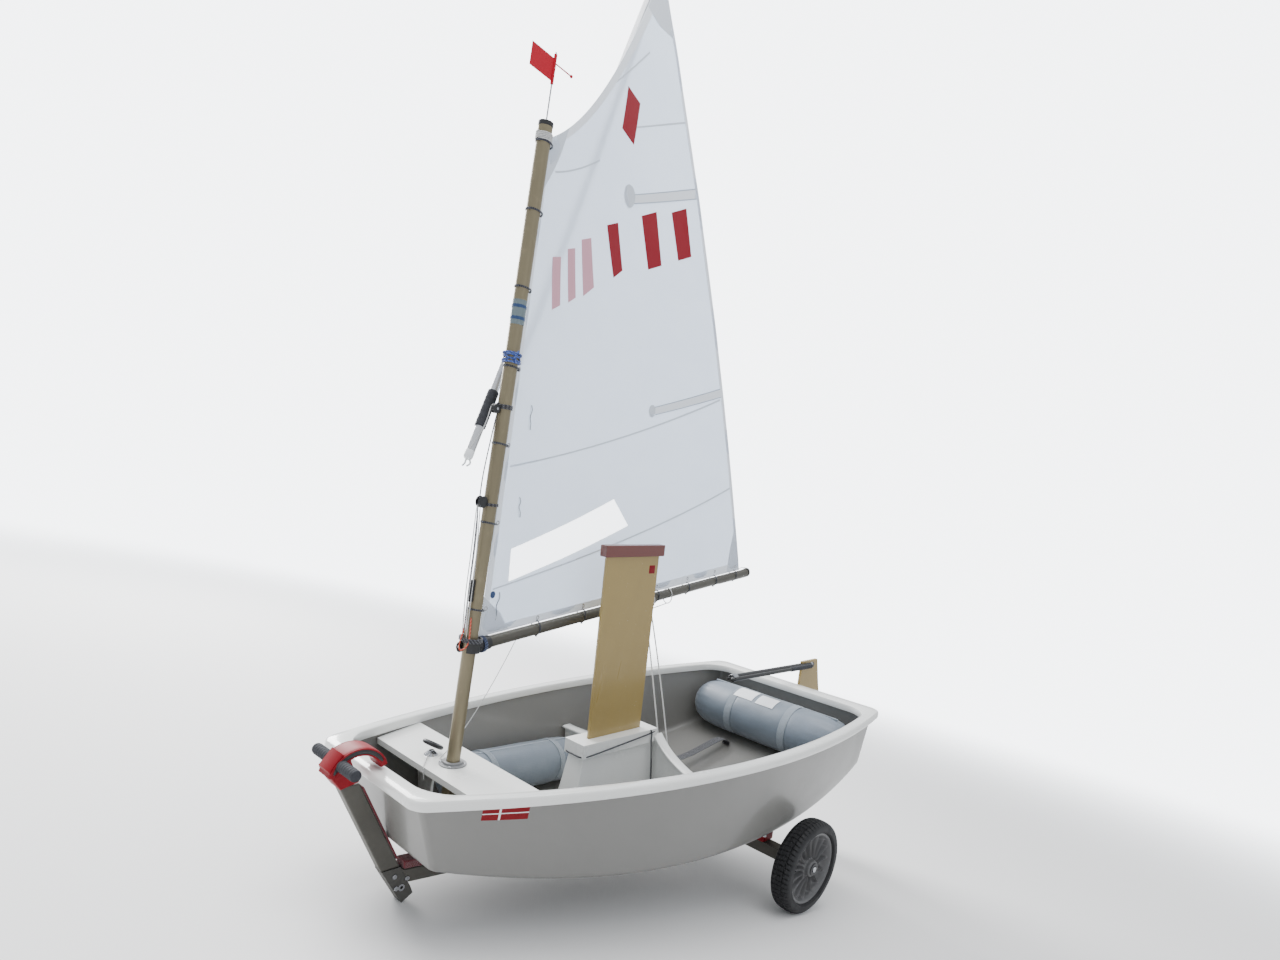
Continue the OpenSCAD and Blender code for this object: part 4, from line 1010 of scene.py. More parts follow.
sailcloth = Finish("sailcloth", tone(236, 241, 247), 0.42, Sheen_Weight=0.15)
aft_share, up_share = sailcloth.along_and_round()
ripstop = ((aft_share * 900).wave() ** 20 + (up_share * 1100).wave() ** 20) * 0.5
crease_and_painted_shade = sailcloth.noise(3.2, 5, (1, 1, 2.2), rough=0.6)
# Clear window: inside all four of its edges, each a line a s + b t = c
WINDOW = ((1.0, 0.05, 0.067), (-1.0, -0.78, -0.604), (-0.131, 1.0, 0.098), (0.135, -1.0, -0.170))
clear = 1.0
for a, b, c in WINDOW:
    clear = ((aft_share * a + up_share * b) - c).ease(-0.002, 0.002) * clear
# Painted shade: the colour darkens along the broad creases, which also raise the bump.
sailcloth.set(Base_Color=sailcloth.mix(clear, sailcloth.mix(crease_and_painted_shade.ease(0.35, 0.7) * 0.25 + ripstop * 0.06,
                                                            tone(240, 244, 249), tone(214, 222, 232)),
                                       tone(232, 240, 246)),
              Alpha=1 - clear * 0.84, Roughness=0.42 - clear * 0.28)
sailcloth.bump(crease_and_painted_shade + ripstop * 0.04, 0.006, 0.5)
glow = sailcloth.node("ShaderNodeBsdfTranslucent", {}, {0: tone(232, 240, 250)})
sailcloth.cover((1 - clear) * 0.52, glow)

SAIL_COLUMNS, SAIL_ROWS = 65, 81
s, t = np.meshgrid(np.linspace(0, 1, SAIL_COLUMNS), np.linspace(0, 1, SAIL_ROWS), indexing="xy")
ripple = (0.0030 * np.sin(t * 40 + s * 6) * np.exp(-s * 14) + 0.004 * np.sin(s * 34 - t * 5) * np.exp(-t * 16)
          + 0.003 * np.sin(t * 30) * np.exp(-(1 - s) * 16) * t) * np.minimum(1, 40 * s) * np.minimum(1, 40 * t)
cloth_points = sail_point(s, t) + ripple[..., None] * (0, 1, 0)
sail = mesh_piece("sail_cloth", rig(cloth_points), cells(SAIL_ROWS, SAIL_COLUMNS).reshape(-1, 4), "rig",
                  sailcloth, ["sail"], np.stack([s, t], -1))
thick = sail.modifiers.new("cloth", "SOLIDIFY")
thick.thickness, thick.offset = 0.0006, 0


def sewn(name, corners, finish, stand=0.0008, rows=24, columns=6):
    """Patch sewn on both sides of the sail, between four (s, t) corners in order round it."""
    a, b, c, d = np.asarray(corners, float)
    u, v = np.meshgrid(np.linspace(0, 1, rows), np.linspace(0, 1, columns), indexing="ij")
    st = ((1 - u) * (1 - v))[..., None] * a + (u * (1 - v))[..., None] * b + (u * v)[..., None] * c \
        + ((1 - u) * v)[..., None] * d
    middle = sail_point(st[..., 0], st[..., 1])
    thin_patch(name, *[rig(middle + (0, side * stand, 0)) for side in (1, -1)], "rig", finish, "sailcloth")


def tape(name, a, b, wide, finish, stand=0.0008):
    """Straight strip sewn along the sail from a to b, both (s, t), as wide as given in metres."""
    a, b = np.asarray(a, float), np.asarray(b, float)
    along_ = sail_point(b[0], b[1]) - sail_point(a[0], a[1])
    square = np.array([-along_[2], 0, along_[0]]) / np.linalg.norm(along_)
    step = np.array([sail_point(a[0] + 0.01, a[1]) - sail_point(*a), sail_point(a[0], a[1] + 0.01) - sail_point(*a)])
    push = np.linalg.lstsq(step[:, [0, 2]].T, square[[0, 2]] * wide / 2, rcond=None)[0] * 0.01
    sewn(name, np.clip([a - push, b - push, b + push, a + push], 0, 1), finish, stand, rows=30, columns=3)


sail_tape = Finish("sail tape", tone(228, 234, 242), 0.5, Sheen_Weight=0.2)
sail_tape.bump(sail_tape.noise(500, 2), 0.0004)
# Pale red that paints the far side's red bars as they look when seen through the backlit cloth.
show_through_red = worn("painted show-through red", tone(204, 150, 164), 0.5, 0.05, 0.04, 0.0, 0.00006)
sail_red = worn("sail red", tone(134, 10, 30), 0.55, 0.05, 0.04, 0.0, 0.00006, Specular_IOR_Level=0.2)
seam_grey = worn("seam", tone(202, 210, 220), 0.5, 0.05, 0.05, 0.0, 0.00006)
batten_cloth = worn("batten pocket", tone(160, 172, 188), 0.5, 0.05, 0.05, 0.0, 0.0002)
EDGE = 0.028
for name, a, b in (("luff", (0.008, 0), (0.008, 1)), ("foot", (0, 0.008), (1, 0.008)), ("leech", (0.993, 0), (0.993, 1)),
                   ("head", (0, 0.992), (1, 0.992))):
    tape(name + "_tape", a, b, EDGE, sail_tape, 0.0009)
for name, a, b in (("low", (0.02, 0.098), (1.0, 0.174)), ("middle", (0.024, 0.355), (0.98, 0.347)),
                   ("upper", (0.585, 0.906), (1.0, 0.80)), ("throat", (0.075, 0.93), (0.416, 0.894)),
                   ("peak", (0.48, 0.995), (0.83, 0.948))):
    tape(name + "_seam", a, b, 0.005, seam_grey, 0.0007)
for name, (a_s, a_t), (b_s, b_t) in (("upper_batten", (0.616, 0.781), (0.985, 0.698)),
                                     ("lower_batten", (0.643, 0.380), (0.985, 0.359))):
    tape(name, (a_s, a_t), (b_s, b_t), 0.028, sail_tape, 0.0016)
    for edge, rise in (("under", -0.0075), ("over", 0.0075)):
        tape(f"{name}_{edge}", (a_s, a_t + rise), (b_s, b_t + rise), 0.003, batten_cloth, 0.0018)
for name, corners in (("throat", ((0, 1), (0, 0.90), (0.10, 0.955), (0.16, 1))),
                      ("tack", ((0, 0), (0.075, 0), (0.045, 0.045), (0, 0.085))),
                      ("clew", ((1, 0), (1, 0.10), (0.955, 0.05), (0.925, 0))),
                      ("peak", ((1, 1), (0.86, 1), (0.92, 0.955), (1, 0.91)))):
    sewn(name + "_patch", corners, seam_grey, stand=0.0011, rows=10, columns=10)
for number, corners in enumerate((((0.452, 0.772), (0.520, 0.762), (0.530, 0.673), (0.478, 0.670)),
                                   ((0.665, 0.741), (0.752, 0.727), (0.748, 0.636), (0.674, 0.645)),
                                   ((0.838, 0.705), (0.922, 0.691), (0.915, 0.614), (0.842, 0.624)))):
    sewn(f"sail_bar_{number}", corners, sail_red, stand=0.0012, rows=10)
# Painted light: pale red patches on both faces stand in for the far side's red bars seen through the backlit cloth.
for number, corners in enumerate((((0.290, 0.775), (0.350, 0.768), (0.365, 0.672), (0.305, 0.665)),
                                   ((0.205, 0.770), (0.250, 0.765), (0.262, 0.668), (0.222, 0.664)),
                                   ((0.115, 0.765), (0.165, 0.760), (0.178, 0.664), (0.135, 0.660)))):
    sewn(f"far_bar_{number}", corners, show_through_red, stand=0.0012, rows=10)
sewn("sail_diamond", ((0.655, 0.952), (0.724, 0.906), (0.655, 0.861), (0.586, 0.906)), sail_red, stand=0.0012, rows=10,
     columns=10)
for number, (a, b) in enumerate((((0.078, 0.474), (0.080, 0.423)), ((0.068, 0.285), (0.074, 0.242)),
                                  ((0.038, 0.089), (0.034, 0.029)))):
    wave_t = np.linspace(0, 1, 30)
    st = np.array(a) + (np.array(b) - a) * wave_t[:, None] + np.outer(0.002 * np.sin(9 * wave_t), (1, 0))
    for side_name, side in SIDES:
        path = sail_point(st[:, 0], st[:, 1]) + np.outer(side * (0.0030 + 0.002 * np.sin(7 * wave_t) ** 2), (0, 1, 0))
        surface(f"telltale_{number}_{side_name}", [sweep(rig(path), ring(0.0011, 6), sail_side)], "rig", dark_line)
eyelet_t = (0.06, 0.24, 0.40, 0.553, 0.707, 0.854, 0.982)
foot_outs = [share * BOOM_LEN for share in (0.161, 0.293, 0.424, 0.556, 0.688, 0.82, 0.927)]
eyelet_s = [(out + TACK[0]) / (TACK[0] - CLEW[0]) for out in foot_outs]
EYELET = [(0.004, 0.0011), (0.0050, 0.0020), (0.0075, 0.0021), (0.0085, 0.0011), (0.0085, -0.0011),
          (0.0075, -0.0021), (0.0050, -0.0020), (0.004, -0.0011), (0.004, 0.0011)]
dot_turn = [turned_on(rig(sail_point(0.022, 0.086)), sail_side, [(0, 0.0016), (0.011, 0.0014), (0.012, 0.0006),
                                                                 (0.012, -0.0006), (0.011, -0.0014), (0, -0.0016)], 24)]
surface("batten_patches", [turned_on(rig(sail_point(*spot)), sail_side, [(0, 0.0014), (wide, 0.0012), (wide, -0.0012),
                                                                       (0, -0.0014)], 32)
                           for spot, wide in (((0.600, 0.790), 0.040), ((0.628, 0.382), 0.026))], "rig", seam_grey,
        sharp=40)
surface("sail_dot", dot_turn, "rig", blue_tape)
surface("sail_eyelets", [turned_on(rig(sail_point(s, t)), sail_side, EYELET, 14)
                         for s, t in [(0.008, t) for t in eyelet_t] + [(s, 0.010) for s in eyelet_s if s < 0.99]],
        "rig", stainless)
sail_area = float(sum(np.linalg.norm(np.cross(cloth_points[:-1, 1:] - cloth_points[:-1, :-1],
                                              cloth_points[1:, :-1] - cloth_points[:-1, :-1]), axis=-1).ravel()))

# ---- Sail ties ---------------------------------------------------------------------------------
# Short cords through the eyelets, knotted round the mast and the boom.

tie_cord = braided("tie cord", tone(30, 34, 46), tone(66, 72, 90), 2, 0.006)
turn = np.linspace(0, 2 * math.pi, 41)


def lashing(spar, radius, heights, out):
    """Loops round a spar that reach out to the eyelets: an oval from the spar's far side to the eyelet,
    crossed by two turns beside each other."""
    half = radius + 0.005
    grids = []
    for h in heights:
        for lift in (-0.0016, 0.0016):
            oval = np.stack([out * (half - radius) + half * np.cos(turn), radius * np.sin(turn),
                             h + lift + 0.002 * np.cos(turn)], 1)
            grids.append(sweep(spar(oval), ring(0.0014, 8), MAST_WAY if spar is rig else BOOM_WAY, closed=True))
        grids.append(turned_on(spar((-out * (radius + 0.0022), 0.004, h)), sail_side,
                               [(0, -0.004), (0.0025, -0.003), (0.0034, 0), (0.0025, 0.003), (0, 0.004)], 10))
    return grids


luff_heights = [TACK[2] + (THROAT[2] - TACK[2]) * k for k in eyelet_t]
surface("luff_lashings", lashing(rig, MAST_R + 0.0016, luff_heights, -1), "rig", tie_cord,
        ["luff_ties"])
surface("foot_lashings", lashing(boom, BOOM_R + 0.0016, foot_outs, 1), "rig", tie_cord,
        ["foot_ties"])

# ---- Sprit and its tackle ----------------------------------------------------------------------
# A light tube from a snotter on the mast's fore side to the sail's peak, with a rubber sleeve where it
# lies against the mast. Its heel hangs in a line that runs through two blocks to a cleat.

SPRIT_LOW = np.array([0.096, -MAST_R - 0.0085, MAST_TOP * 0.496])
SPRIT_HIGH = PEAK - np.array([0, 0.015, 0])
SPRIT_R = 0.014
sprit_way = (SPRIT_HIGH - SPRIT_LOW) / np.linalg.norm(SPRIT_HIGH - SPRIT_LOW)
SPRIT_WAY = rig(sprit_way) - rig((0, 0, 0))
eased("sprit", sprit_aluminium, 0.002)
sleeve = np.linspace(0, 1, 24)
surface("sprit_sleeve", [turned_on(rig(SPRIT_LOW + sprit_way * 0.105), SPRIT_WAY, np.concatenate([
    [(SPRIT_R + 0.0002, 0), (0.0170, 0.0005)], np.stack([0.0178 + 0.0003 * np.sin(sleeve * 50), 0.002 + 0.126 * sleeve], 1),
    [(0.0170, 0.1295), (SPRIT_R + 0.0002, 0.130), (SPRIT_R + 0.0002, 0)]]), 28)], "rig", foam, ["sprit_grip"])
eased("sprit_tackle", black_plastic, 0.0015)
surface("sprit_heel", [turned_on(rig(SPRIT_LOW), SPRIT_WAY,
                                 [(0, -0.010), (0.009, -0.009), (0.0135, -0.004), (0.0147, 0.002), (0.0147, 0.018),
                                  (0.0141, 0.020), (0.0141, 0), (0, 0)], 28)], "rig", label_white)
surface("sprit_horns", [sweep(rig(smooth([SPRIT_LOW + (0, side * 0.006, -0.004), SPRIT_LOW + (-0.001, side * 0.011, -0.020),
                                          SPRIT_LOW + (0.010, side * 0.009, -0.030)])), ring(0.0030, 8), (0.9, 0.1, 0.2))
                        for side in (1, -1)], "rig", label_white)
prong = np.linspace(-1, 1, 21)
fork = SPRIT_HIGH - sprit_way * 0.022 + np.outer(0.020 * np.abs(prong) ** 1.6, sprit_way) \
    + np.outer(0.010 * prong, (0, 1, 0))
surface("sprit_fork", [sweep(rig(fork), ring(0.0035, 10), sprit_way @ swing @ mast_tilt + (0.3, 0.1, 0))], "rig",
        black_plastic)
rope("peak_loop", rig(smooth([PEAK + (0.012, 0.003, -0.022), PEAK + (0.004, 0.002, -0.004), PEAK + (-0.002, -0.010, -0.004),
                              PEAK + (0.006, -0.020, -0.020), PEAK + (0.012, -0.010, -0.026)])), 0.0018, "rig",
     white_rope)
upper_block, lower_block = [np.array([MAST_R + 0.017, 0, share * MAST_TOP]) for share in (0.5755, 0.4285)]
surface("tackle_pins", [turned_on(rig(block), sail_side, [(0, -0.0105), (0.004, -0.010), (0.0045, -0.008),
                                                         (0.0045, 0.008), (0.004, 0.010), (0, 0.0105)], 14)
                        for block in (upper_block, lower_block)], "rig", stainless)
LIFT = 0.016
tie_blue = braided("dark blue line", tone(30, 40, 70), tone(70, 90, 130), 2, 0.008)
rope("snotter_fore", rig(smooth([upper_block + (LIFT, -0.004, 0.004), upper_block + (0.028, -0.010, -0.060),
                                 SPRIT_LOW + (0.004, 0.004, 0.020), SPRIT_LOW + (0.006, 0.002, -0.012)])), 0.0016,
     "rig", white_rope, up=sail_side)
for number, (out_, shift) in enumerate(((0.014, 0.005), (0.021, -0.002), (0.027, -0.006))):
    rope(f"tackle_strand_{number}",
         rig(smooth([lower_block + (0.006 + 0.3 * out_, shift, -0.012), (MAST_R + out_, shift, 0.70),
                     (MAST_R + out_ * 0.8, shift * 1.4, 0.56), (MAST_R + 0.008, shift * 1.6, BOOM_UP + 0.030)])),
         0.0017, "rig", (white_rope, dark_line, white_rope)[number], up=sail_side)
rope("jaw_lashing", coil(rig, BOOM_UP + 0.026, MAST_R + 0.0145, 3, 0.0050), 0.0024, "rig", dark_line, up=MAST_WAY)
rope("boom_lashing", coil(boom, 0.052, BOOM_R + 0.0068, 3, 0.0050), 0.0024, "rig", tie_blue, up=BOOM_WAY)
surface("block_cheeks", [turned_on(rig(lower_block + (0.002, side * 0.0085, 0.004)), sail_side * side,
                                   [(0, 0.0025), (0.014, 0.0022), (0.0185, 0.0010), (0.0190, -0.001), (0, -0.001)], 28)
                         for side in (1, -1)], "rig", black_plastic)
rope("snotter_middle", rig(smooth([upper_block + (-0.004, 0.004, -0.016), lower_block + (LIFT, 0.004, 0.10),
                                   lower_block + (LIFT, 0.003, 0.0)])), 0.0020, "rig", dark_line)
CLEAT_Z = BOOM_UP + 0.150
rope("snotter_tail", rig(smooth([lower_block + (LIFT * 0.8, -0.004, -0.004), (MAST_R + 0.018, -0.003, 0.76),
                                 (MAST_R + 0.0165, -0.001, CLEAT_Z + 0.075), (MAST_R + 0.0165, 0, CLEAT_Z + 0.020),
                                 (MAST_R + 0.017, 0.002, CLEAT_Z - 0.010), (MAST_R + 0.012, 0.006, CLEAT_Z - 0.090)])),
     0.0021, "rig", white_rope)
rope("snotter_strop", coil(rig, upper_block[2] + 0.012, MAST_R + 0.0022, 3, 0.0048), 0.0021, "rig", dark_line,
     up=MAST_WAY)
rope("lower_strop", coil(rig, lower_block[2], MAST_R + 0.0022, 2, 0.0048), 0.0021, "rig", dark_line, up=MAST_WAY)

rest_line = boom((-0.0215, 0, 0.225)), hull((2.045, -0.030, THWART_Z + 0.012))
t = np.linspace(0, 1, 30)[:, None]
line_path = rest_line[1] + t * (rest_line[0] - rest_line[1]) - np.array([0, 0, 1]) * 0.05 * 4 * t * (1 - t)
slack_line = surface("mast_safety_line", [sweep(line_path, ring(0.0013, 8), PORT)], None, white_rope)
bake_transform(slack_line)

# ---- Wind vane ---------------------------------------------------------------------------------
# A thin steel stem in the mast's head, with a red flag and a light counterweight that turn on it.

vane_red = worn("vane red", tone(176, 14, 38), 0.5, 0.06, 0.05, 0.0, 0.00005, Specular_IOR_Level=0.2)
eased("vane_stem", stainless, 0.0004)
eased("wind_vane", vane_red, 0.0003, 1)

# ---- Dolly frame -------------------------------------------------------------------------------
# Square galvanised tubes gone dull: a spine under the keel, a post up the bow and a cross beam with
# two axle stubs. A cast foot joins spine and post, and red webbing pads the faces the hull touches.

dolly_tube = worn("dull galvanised tube", tone(88, 86, 80), 0.52, 0.35, 0.30, 0.20, 0.0002, Metallic=0.35)
dolly_casting = worn("cast foot", tone(84, 83, 79), 0.62, 0.40, 0.30, 0.10, 0.0006, Metallic=0.3)
for node in ("dolly_spine", "dolly_post", "axle_beam"):
    eased(node, dolly_tube, 0.0045, 3)
eased("dolly_foot", dolly_casting, 0.004, 3)


def woven(name, colour, low):
    """Webbing: ribs across and along it, from its place on the boat, darker in rubbed patches."""
    f = Finish(name, colour, 0.8, Sheen_Weight=0.35)
    x_, y_, z_ = f.parts(f.place())
    ribs_ = ((x_ + z_) * 2200).wave() * (y_ * 2200).wave()
    rubbed = f.noise(14, 4).ease(0.4, 0.75)
    f.set(Base_Color=f.mix(rubbed * 0.4 + ribs_ * 0.08, colour, low))
    return f.bump(ribs_ + rubbed, 0.0007)


red_webbing = woven("red webbing", tone(112, 12, 30), tone(72, 12, 26))
eased("spine_pad", red_webbing, 0.006, 3)
eased("post_pad", red_webbing, 0.003, 3)
red_plastic = worn("red plastic", tone(128, 6, 22), 0.50, 0.10, 0.12, 0.02, 0.0002, Specular_IOR_Level=0.25)
eased("chocks", red_plastic, 0.008, 4)
AXLE_X, AXLE_Z, FOOT_TOP = 0.655, -0.1435, 0.05797
foot_bolts = [(HULL_LENGTH - 0.110, side * 0.0232, FOOT_TOP - 0.058) for side in (1, -1)]
surface("foot_washers", [turned_on(hull(spot), PORT * math.copysign(1, spot[1]),
                                   [(0.0052, 0), (0.0115, 0), (0.0120, 0.0008), (0.0115, 0.0016), (0.0052, 0.0016),
                                    (0.0052, 0)], 28) for spot in foot_bolts], "boat", stainless)
HEX = [(0, 0.006), (0.0075, 0.006), (0.0088, 0.0048), (0.0088, -0.001), (0, -0.001)]
joint_spots = [((HULL_LENGTH - 0.128 + a, side * 0.023, FOOT_TOP - 0.030 + b), side)
               for side in (1, -1) for a, b in ((0, 0), (0.046, 0.018), (0.038, -0.024))]
surface("foot_bolts", [turned_on(hull(spot), PORT * side, HEX, 6) for spot, side in joint_spots], "boat",
        stainless)
surface("beam_bolts", [turned_on(hull((AXLE_X + 0.0255, side * 0.020, AXLE_Z + k * 0.014)), FORWARD, HEX, 6)
                       for side in (1, -1) for k in (1, -1)], "boat", stainless)
surface("chock_caps", [turned_on(hull((AXLE_X + 0.036, side * (chine_y(AXLE_X) - 0.099), AXLE_Z + 0.062)), FORWARD,
                                 [(0, 0.002), (0.008, 0.0018), (0.010, 0.0005), (0.010, -0.001), (0, -0.001)], 24)
                       for side in (1, -1)], "boat", label_white)

# ---- Bow hook, handle bar and grips ------------------------------------------------------------
# A moulded red crescent hooks over the bow's flange. Its raised rims stand round a dark inset on each
# side, and the steel handle bar passes through it, with a ribbed foam grip on each end.

HOOK_R, HOOK_THICK, HOOK_W = 0.098, 0.025, 0.072
HOOK_CENTRE = (HULL_LENGTH + 0.062, 0.408)
around = np.radians(np.linspace(14, 166, 73))
corner = np.linspace(0, 2 * math.pi, 45)
square = [np.sign(f(corner)) * np.abs(f(corner)) ** 0.28 for f in (np.cos, np.sin)]
taper = np.minimum(1, np.linspace(30, 0.02, 73) ** 0.5)[:, None]
depth = HOOK_R - HOOK_THICK / 2 + HOOK_THICK / 2 * taper * square[0]
crescent = [np.stack([HOOK_CENTRE[0] + depth * np.cos(around)[:, None], HOOK_W / 2 * taper * square[1],
                      HOOK_CENTRE[1] + depth * np.sin(around)[:, None]], -1)]
ear = np.array([(0.060, 0.400), (0.118, 0.386), (0.146, 0.424), (0.158, 0.452), (0.118, 0.498), (0.092, 0.480)])
ear = np.array([HULL_LENGTH, 0]) + ear
ear_rows = [np.stack([ear[:, 0] * share + (1 - share) * ear[:, 0].mean(), 0 * ear[:, 0] + y,
                      ear[:, 1] * share + (1 - share) * ear[:, 1].mean()], 1)
            for y, share in ((-0.0335, 0.001), (-0.0340, 0.94), (-0.0310, 1), (0.0310, 1), (0.0340, 0.94), (0.0335, 0.001))]
crescent.append(np.stack([np.concatenate([row_, row_[:1]]) for row_ in ear_rows]))
surface("hook_crescent", [hull(grid) for grid in crescent], "boat", red_plastic, ["bow_hook"], sharp=40)
eased("handle_bar", stainless, 0.002)
eased("handle_grips", foam, 0.004, 3)
arc = np.radians(np.linspace(20, 150, 40))
inset = []
for side in (1, -1):
    middle_r = HOOK_R - HOOK_THICK / 2 + 0 * arc
    half = 0.0066 * np.sqrt(np.clip(1 - np.abs(np.linspace(-1, 1, 40)) ** 6, 0, 1)) + 0.0002
    rows = []
    for lift, part in ((-0.001, 1.0), (0.0004, 1.0), (0.0010, 0.9), (0.0010, -0.9), (0.0004, -1.0), (-0.001, -1.0),
                       (-0.001, 1.0)):
        r = middle_r + half * part
        rows.append(np.stack([HOOK_CENTRE[0] + r * np.cos(arc), side * (HOOK_W / 2 + lift) + 0 * arc,
                              HOOK_CENTRE[1] + r * np.sin(arc)], 1))
    inset.append(hull(np.stack(rows, 1)))
surface("hook_insets", inset, "boat", black_plastic, sharp=60)
rim_rows = []
for side in (1, -1):
    for r0 in (HOOK_R - 0.0035, HOOK_R - HOOK_THICK + 0.0035):
        path = np.stack([HOOK_CENTRE[0] + r0 * np.cos(arc), side * (HOOK_W / 2) + 0 * arc,
                         HOOK_CENTRE[1] + r0 * np.sin(arc)], 1)
        rim_rows.append(sweep(hull(path), ring(0.0026, 10), PORT))
surface("hook_rims", rim_rows, "boat", red_plastic)
BAR = (HULL_LENGTH + 0.120, 0.463)
surface("grip_ribs", [turned_on(hull((BAR[0], side * (0.040 + 0.012 * k), BAR[1])), PORT * side,
                                [(0.0172, 0), (0.0184, 0.0012), (0.0184, 0.0040), (0.0172, 0.0052), (0.0172, 0)], 28)
                      for side in (1, -1) for k in range(7)], "boat", foam)

# ---- Wheels ------------------------------------------------------------------------------------
# Treaded pneumatic tyres on moulded grey rims. Each rim is a shallow dish with pressed flutes round a
# raised hub, a black retaining ring and a bright axle end.

WHEEL_R, RIM_R, TYRE_W, WHEEL_OUT = 0.194, 0.148, 0.088, 0.620
WHEEL_X, WHEEL_Z = joint["port_wheel_turn"]["pos_m"][0], joint["port_wheel_turn"]["pos_m"][2]
tyre_rubber = Finish("tyre rubber", tone(24, 26, 30), 0.72)
dust = tyre_rubber.noise(16, 4).ease(0.42, 0.75)
tyre_rubber.set(Base_Color=tyre_rubber.mix(dust * 0.25, tone(11, 12, 16), tone(34, 35, 36)), Roughness=dust * 0.15 + 0.62)
tyre_rubber.bump(tyre_rubber.noise(260, 2), 0.0003)
rim_plastic = worn("grey rim", tone(90, 90, 91), 0.38, 0.12, 0.22, 0.12, 0.0001)


def wheel_grid(side, radius, out, turn):
    """Grid of a wheel from radius and distance out from its inner face, both over turn and girth."""
    return np.stack([WHEEL_X + radius * np.cos(turn), side * (WHEEL_OUT - TYRE_W + out),
                     WHEEL_Z + radius * np.sin(turn)], -1)


def soft_step(x, low, high):
    x = np.clip((x - low) / (high - low), 0, 1)
    return x * x * (3 - 2 * x)


# Round section of the tyre, from the inner bead over the tread to the outer bead
girth_t = np.linspace(0, 1, 45)
wide = np.concatenate([[0.010], 0.044 - 0.044 * np.sign(np.cos(math.pi * girth_t)) * np.abs(np.cos(math.pi * girth_t)) ** 0.72,
                       [0.078]])
high = np.concatenate([[RIM_R + 0.0005], RIM_R + 0.008 + (WHEEL_R - RIM_R - 0.008) * np.sin(math.pi * girth_t) ** 0.5,
                       [RIM_R + 0.0005]])
turn = np.linspace(0, 2 * math.pi, 577)[:, None]
block_count = 60
zig = np.abs(wide - 0.044) * 26
across_groove = soft_step(np.abs(np.sin(block_count / 2 * turn + zig)), 0.10, 0.26)
round_grooves = soft_step(np.abs(np.abs(wide - 0.044) - 0.0155), 0.0008, 0.0026)
tread = soft_step(high, WHEEL_R - 0.016, WHEEL_R - 0.004)
radius = high - 0.0052 * tread * (1 - across_groove * round_grooves)
sidewall = 0.0012 * np.exp(-((high - (RIM_R + 0.020)) / 0.0018) ** 2) * np.sign(wide - 0.044)
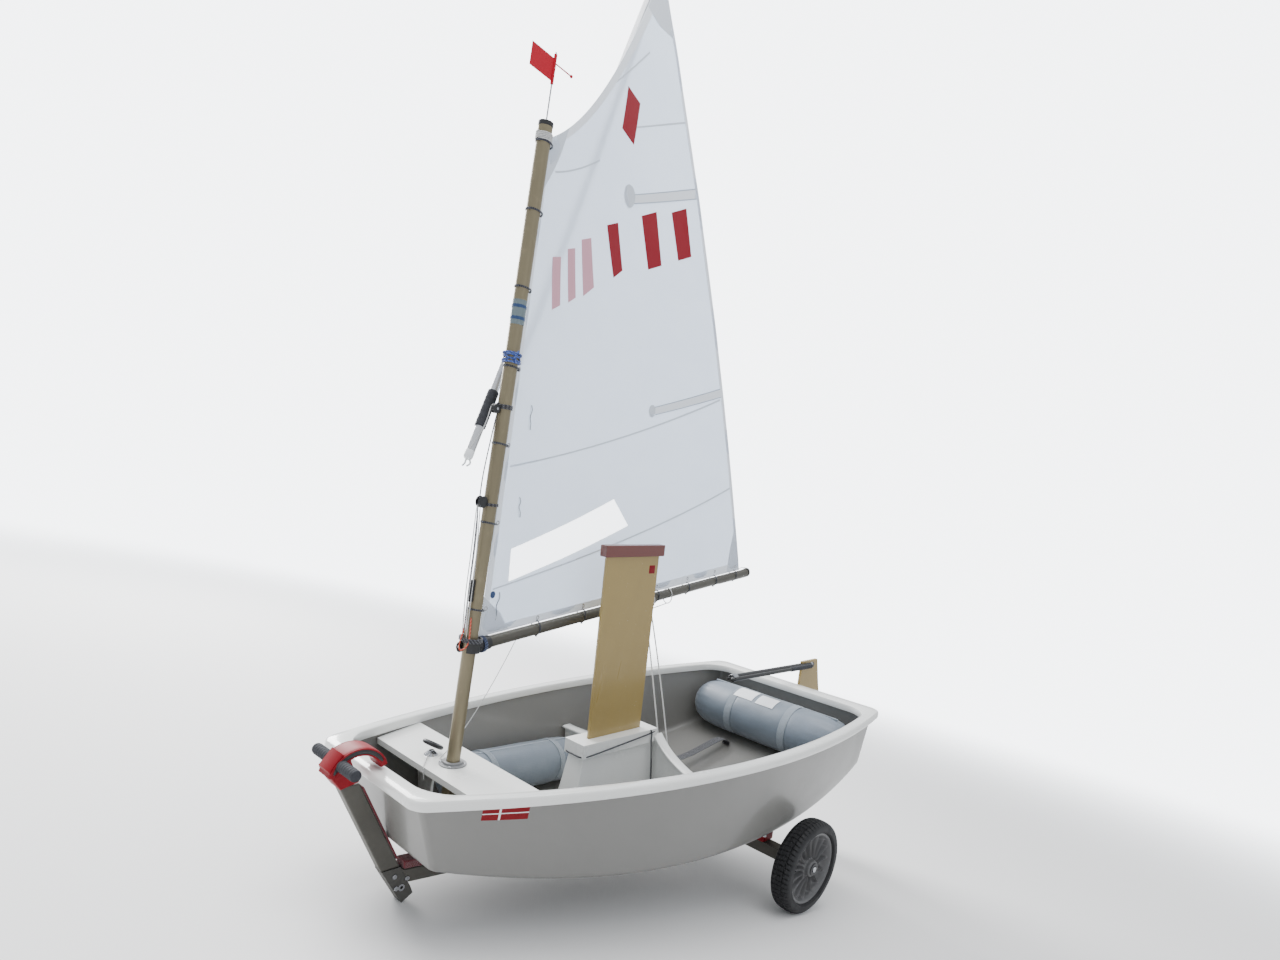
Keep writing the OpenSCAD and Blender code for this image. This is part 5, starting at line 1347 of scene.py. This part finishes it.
for side_name, side in SIDES:
    body_name = side_name + "_wheel"
    r = np.concatenate([radius, 0 * turn + RIM_R + 0.0005, radius[:, :1]], 1)
    out = np.concatenate([wide + sidewall + 0 * turn, 0 * turn + 0.044, 0 * turn + wide[0]], 1)
    surface(side_name + "_tyre_tread", [wheel_grid(side, r, np.clip(out, 0, TYRE_W), turn)], body_name, tyre_rubber,
            [side_name + "_tyre"], sharp=50)
    fine = np.linspace(0, 2 * math.pi, 361)[:, None]
    face = np.array([[0.0122, 0.0840], [0.0300, 0.0835], [0.0330, 0.0800], [0.0350, 0.0640], [0.0400, 0.0600],
                     [0.060, 0.0570], [0.085, 0.0545], [0.110, 0.0540], [0.128, 0.0570], [0.1350, 0.0680],
                     [0.1395, 0.0760], [0.1430, 0.0785], [0.1478, 0.0780], [0.1480, 0.0740], [0.1480, 0.0140],
                     [0.1478, 0.0100], [0.1420, 0.0105], [0.1370, 0.0200], [0.130, 0.0360], [0.100, 0.0370],
                     [0.060, 0.0370], [0.036, 0.0360], [0.0320, 0.0080], [0.0300, 0.0060], [0.0122, 0.0060],
                     [0.0122, 0.0840]])
    dense = np.concatenate([np.linspace(a, b, 4)[:-1] for a, b in zip(face[:-1], face[1:])] + [face[-1:]])
    disc = soft_step(dense[:, 0], 0.036, 0.052) * (1 - soft_step(dense[:, 0], 0.122, 0.136))
    inside = (dense[:, 1] < 0.045).astype(float) * (dense[:, 1] > 0.030)
    outer_face = (dense[:, 1] > 0.050).astype(float)
    ridge = np.exp(-(np.sin(7.5 * fine) / 0.42) ** 2)
    flute = ((ridge * 1.6 - 0.7) * 0.0150 * outer_face - (1 - ridge) * 0.003 * inside) * disc
    surface(side_name + "_rim_dish", [wheel_grid(side, dense[:, 0] + 0 * fine,
                                                dense[:, 1] + flute, fine)], body_name,
            rim_plastic, [side_name + "_rim"], sharp=50)
    centre = np.array([WHEEL_X, side * (WHEEL_OUT - TYRE_W), WHEEL_Z])
    out_way = np.array([0, side, 0])
    surface(side_name + "_hub_ring", [turned_on(centre + out_way * 0.0836, out_way,
                                                [(0.0130, 0), (0.0260, 0), (0.0275, 0.0010), (0.0275, 0.0026),
                                                 (0.0255, 0.0040), (0.0150, 0.0042), (0.0130, 0.0030), (0.0130, 0)], 40)],
            body_name, black_plastic)
    surface(side_name + "_valve", [turned_on(centre + (0.118, 0, 0) + out_way * 0.057,
                                             out_way + np.array([0.25, 0, 0]),
                                             [(0, 0.020), (0.0028, 0.019), (0.0032, 0.012), (0.0040, 0.011),
                                              (0.0040, -0.004), (0, -0.004)], 12)], body_name, black_plastic)
    surface(side_name + "_axle_end", [turned_on(centre + out_way * 0.0905, out_way,
                                                [(0, 0.0012), (0.008, 0.0010), (0.0112, 0), (0.0119, -0.002),
                                                 (0.0119, -0.006), (0, -0.006)], 32)], "boat", stainless)

# ---- Floor, backdrop and light -----------------------------------------------------------------
# A plain pale floor that fades out into a bright sky, a large soft light overhead, another high to
# starboard that shines through the sail, and a weak one to port.

FLOOR_HALF = 60
floor_mesh = bpy.data.meshes.new("floor")
floor_mesh.from_pydata([(a * FLOOR_HALF, b * FLOOR_HALF, 0) for a, b in ((-1, -1), (1, -1), (1, 1), (-1, 1))], [],
                       [(0, 1, 2, 3)])
floor = bpy.data.objects.new("floor", floor_mesh)
bpy.context.scene.collection.objects.link(floor)
floor_paint = Finish("floor", (0.78, 0.78, 0.78), 0.8)
floor_x, floor_y, _ = floor_paint.parts(floor_paint.place())
far = (floor_x * floor_x + floor_y * floor_y).ease(3, 110)
floor_paint.cover(far, floor_paint.node("ShaderNodeBsdfTransparent", {}, {}))
floor_mesh.materials.append(floor_paint.material)
world = bpy.data.worlds.new("studio")
bpy.context.scene.world = world
world.use_nodes = True
world.node_tree.nodes["Background"].inputs[0].default_value = (0.93, 0.96, 1.0, 1)
SKY_LIGHT, BACKDROP_GAIN = 1.05, 5.0
sky = world.node_tree
seen = sky.nodes.new("ShaderNodeLightPath")
strength = sky.nodes.new("ShaderNodeMath")
strength.operation = "MULTIPLY_ADD"
sky.links.new(seen.outputs["Is Camera Ray"], strength.inputs[0])
strength.inputs[1].default_value, strength.inputs[2].default_value = BACKDROP_GAIN, SKY_LIGHT
sky.links.new(strength.outputs[0], sky.nodes["Background"].inputs[1])
for name, spot, size, power in (("overhead", (0.6, -0.6, 6.0), 5.0, 420), ("starboard", (0.5, -6.0, 4.2), 4.0, 950),
                                ("port", (1.5, 6.0, 3.0), 3.5, 12)):
    lamp = bpy.data.objects.new(name, bpy.data.lights.new(name, "AREA"))
    lamp.data.size, lamp.data.energy = size, power
    lamp.location = spot
    lamp.rotation_euler = (Vector((0, 0, 0.8)) - Vector(spot)).to_track_quat("-Z", "Y").to_euler()
    bpy.context.scene.collection.objects.link(lamp)
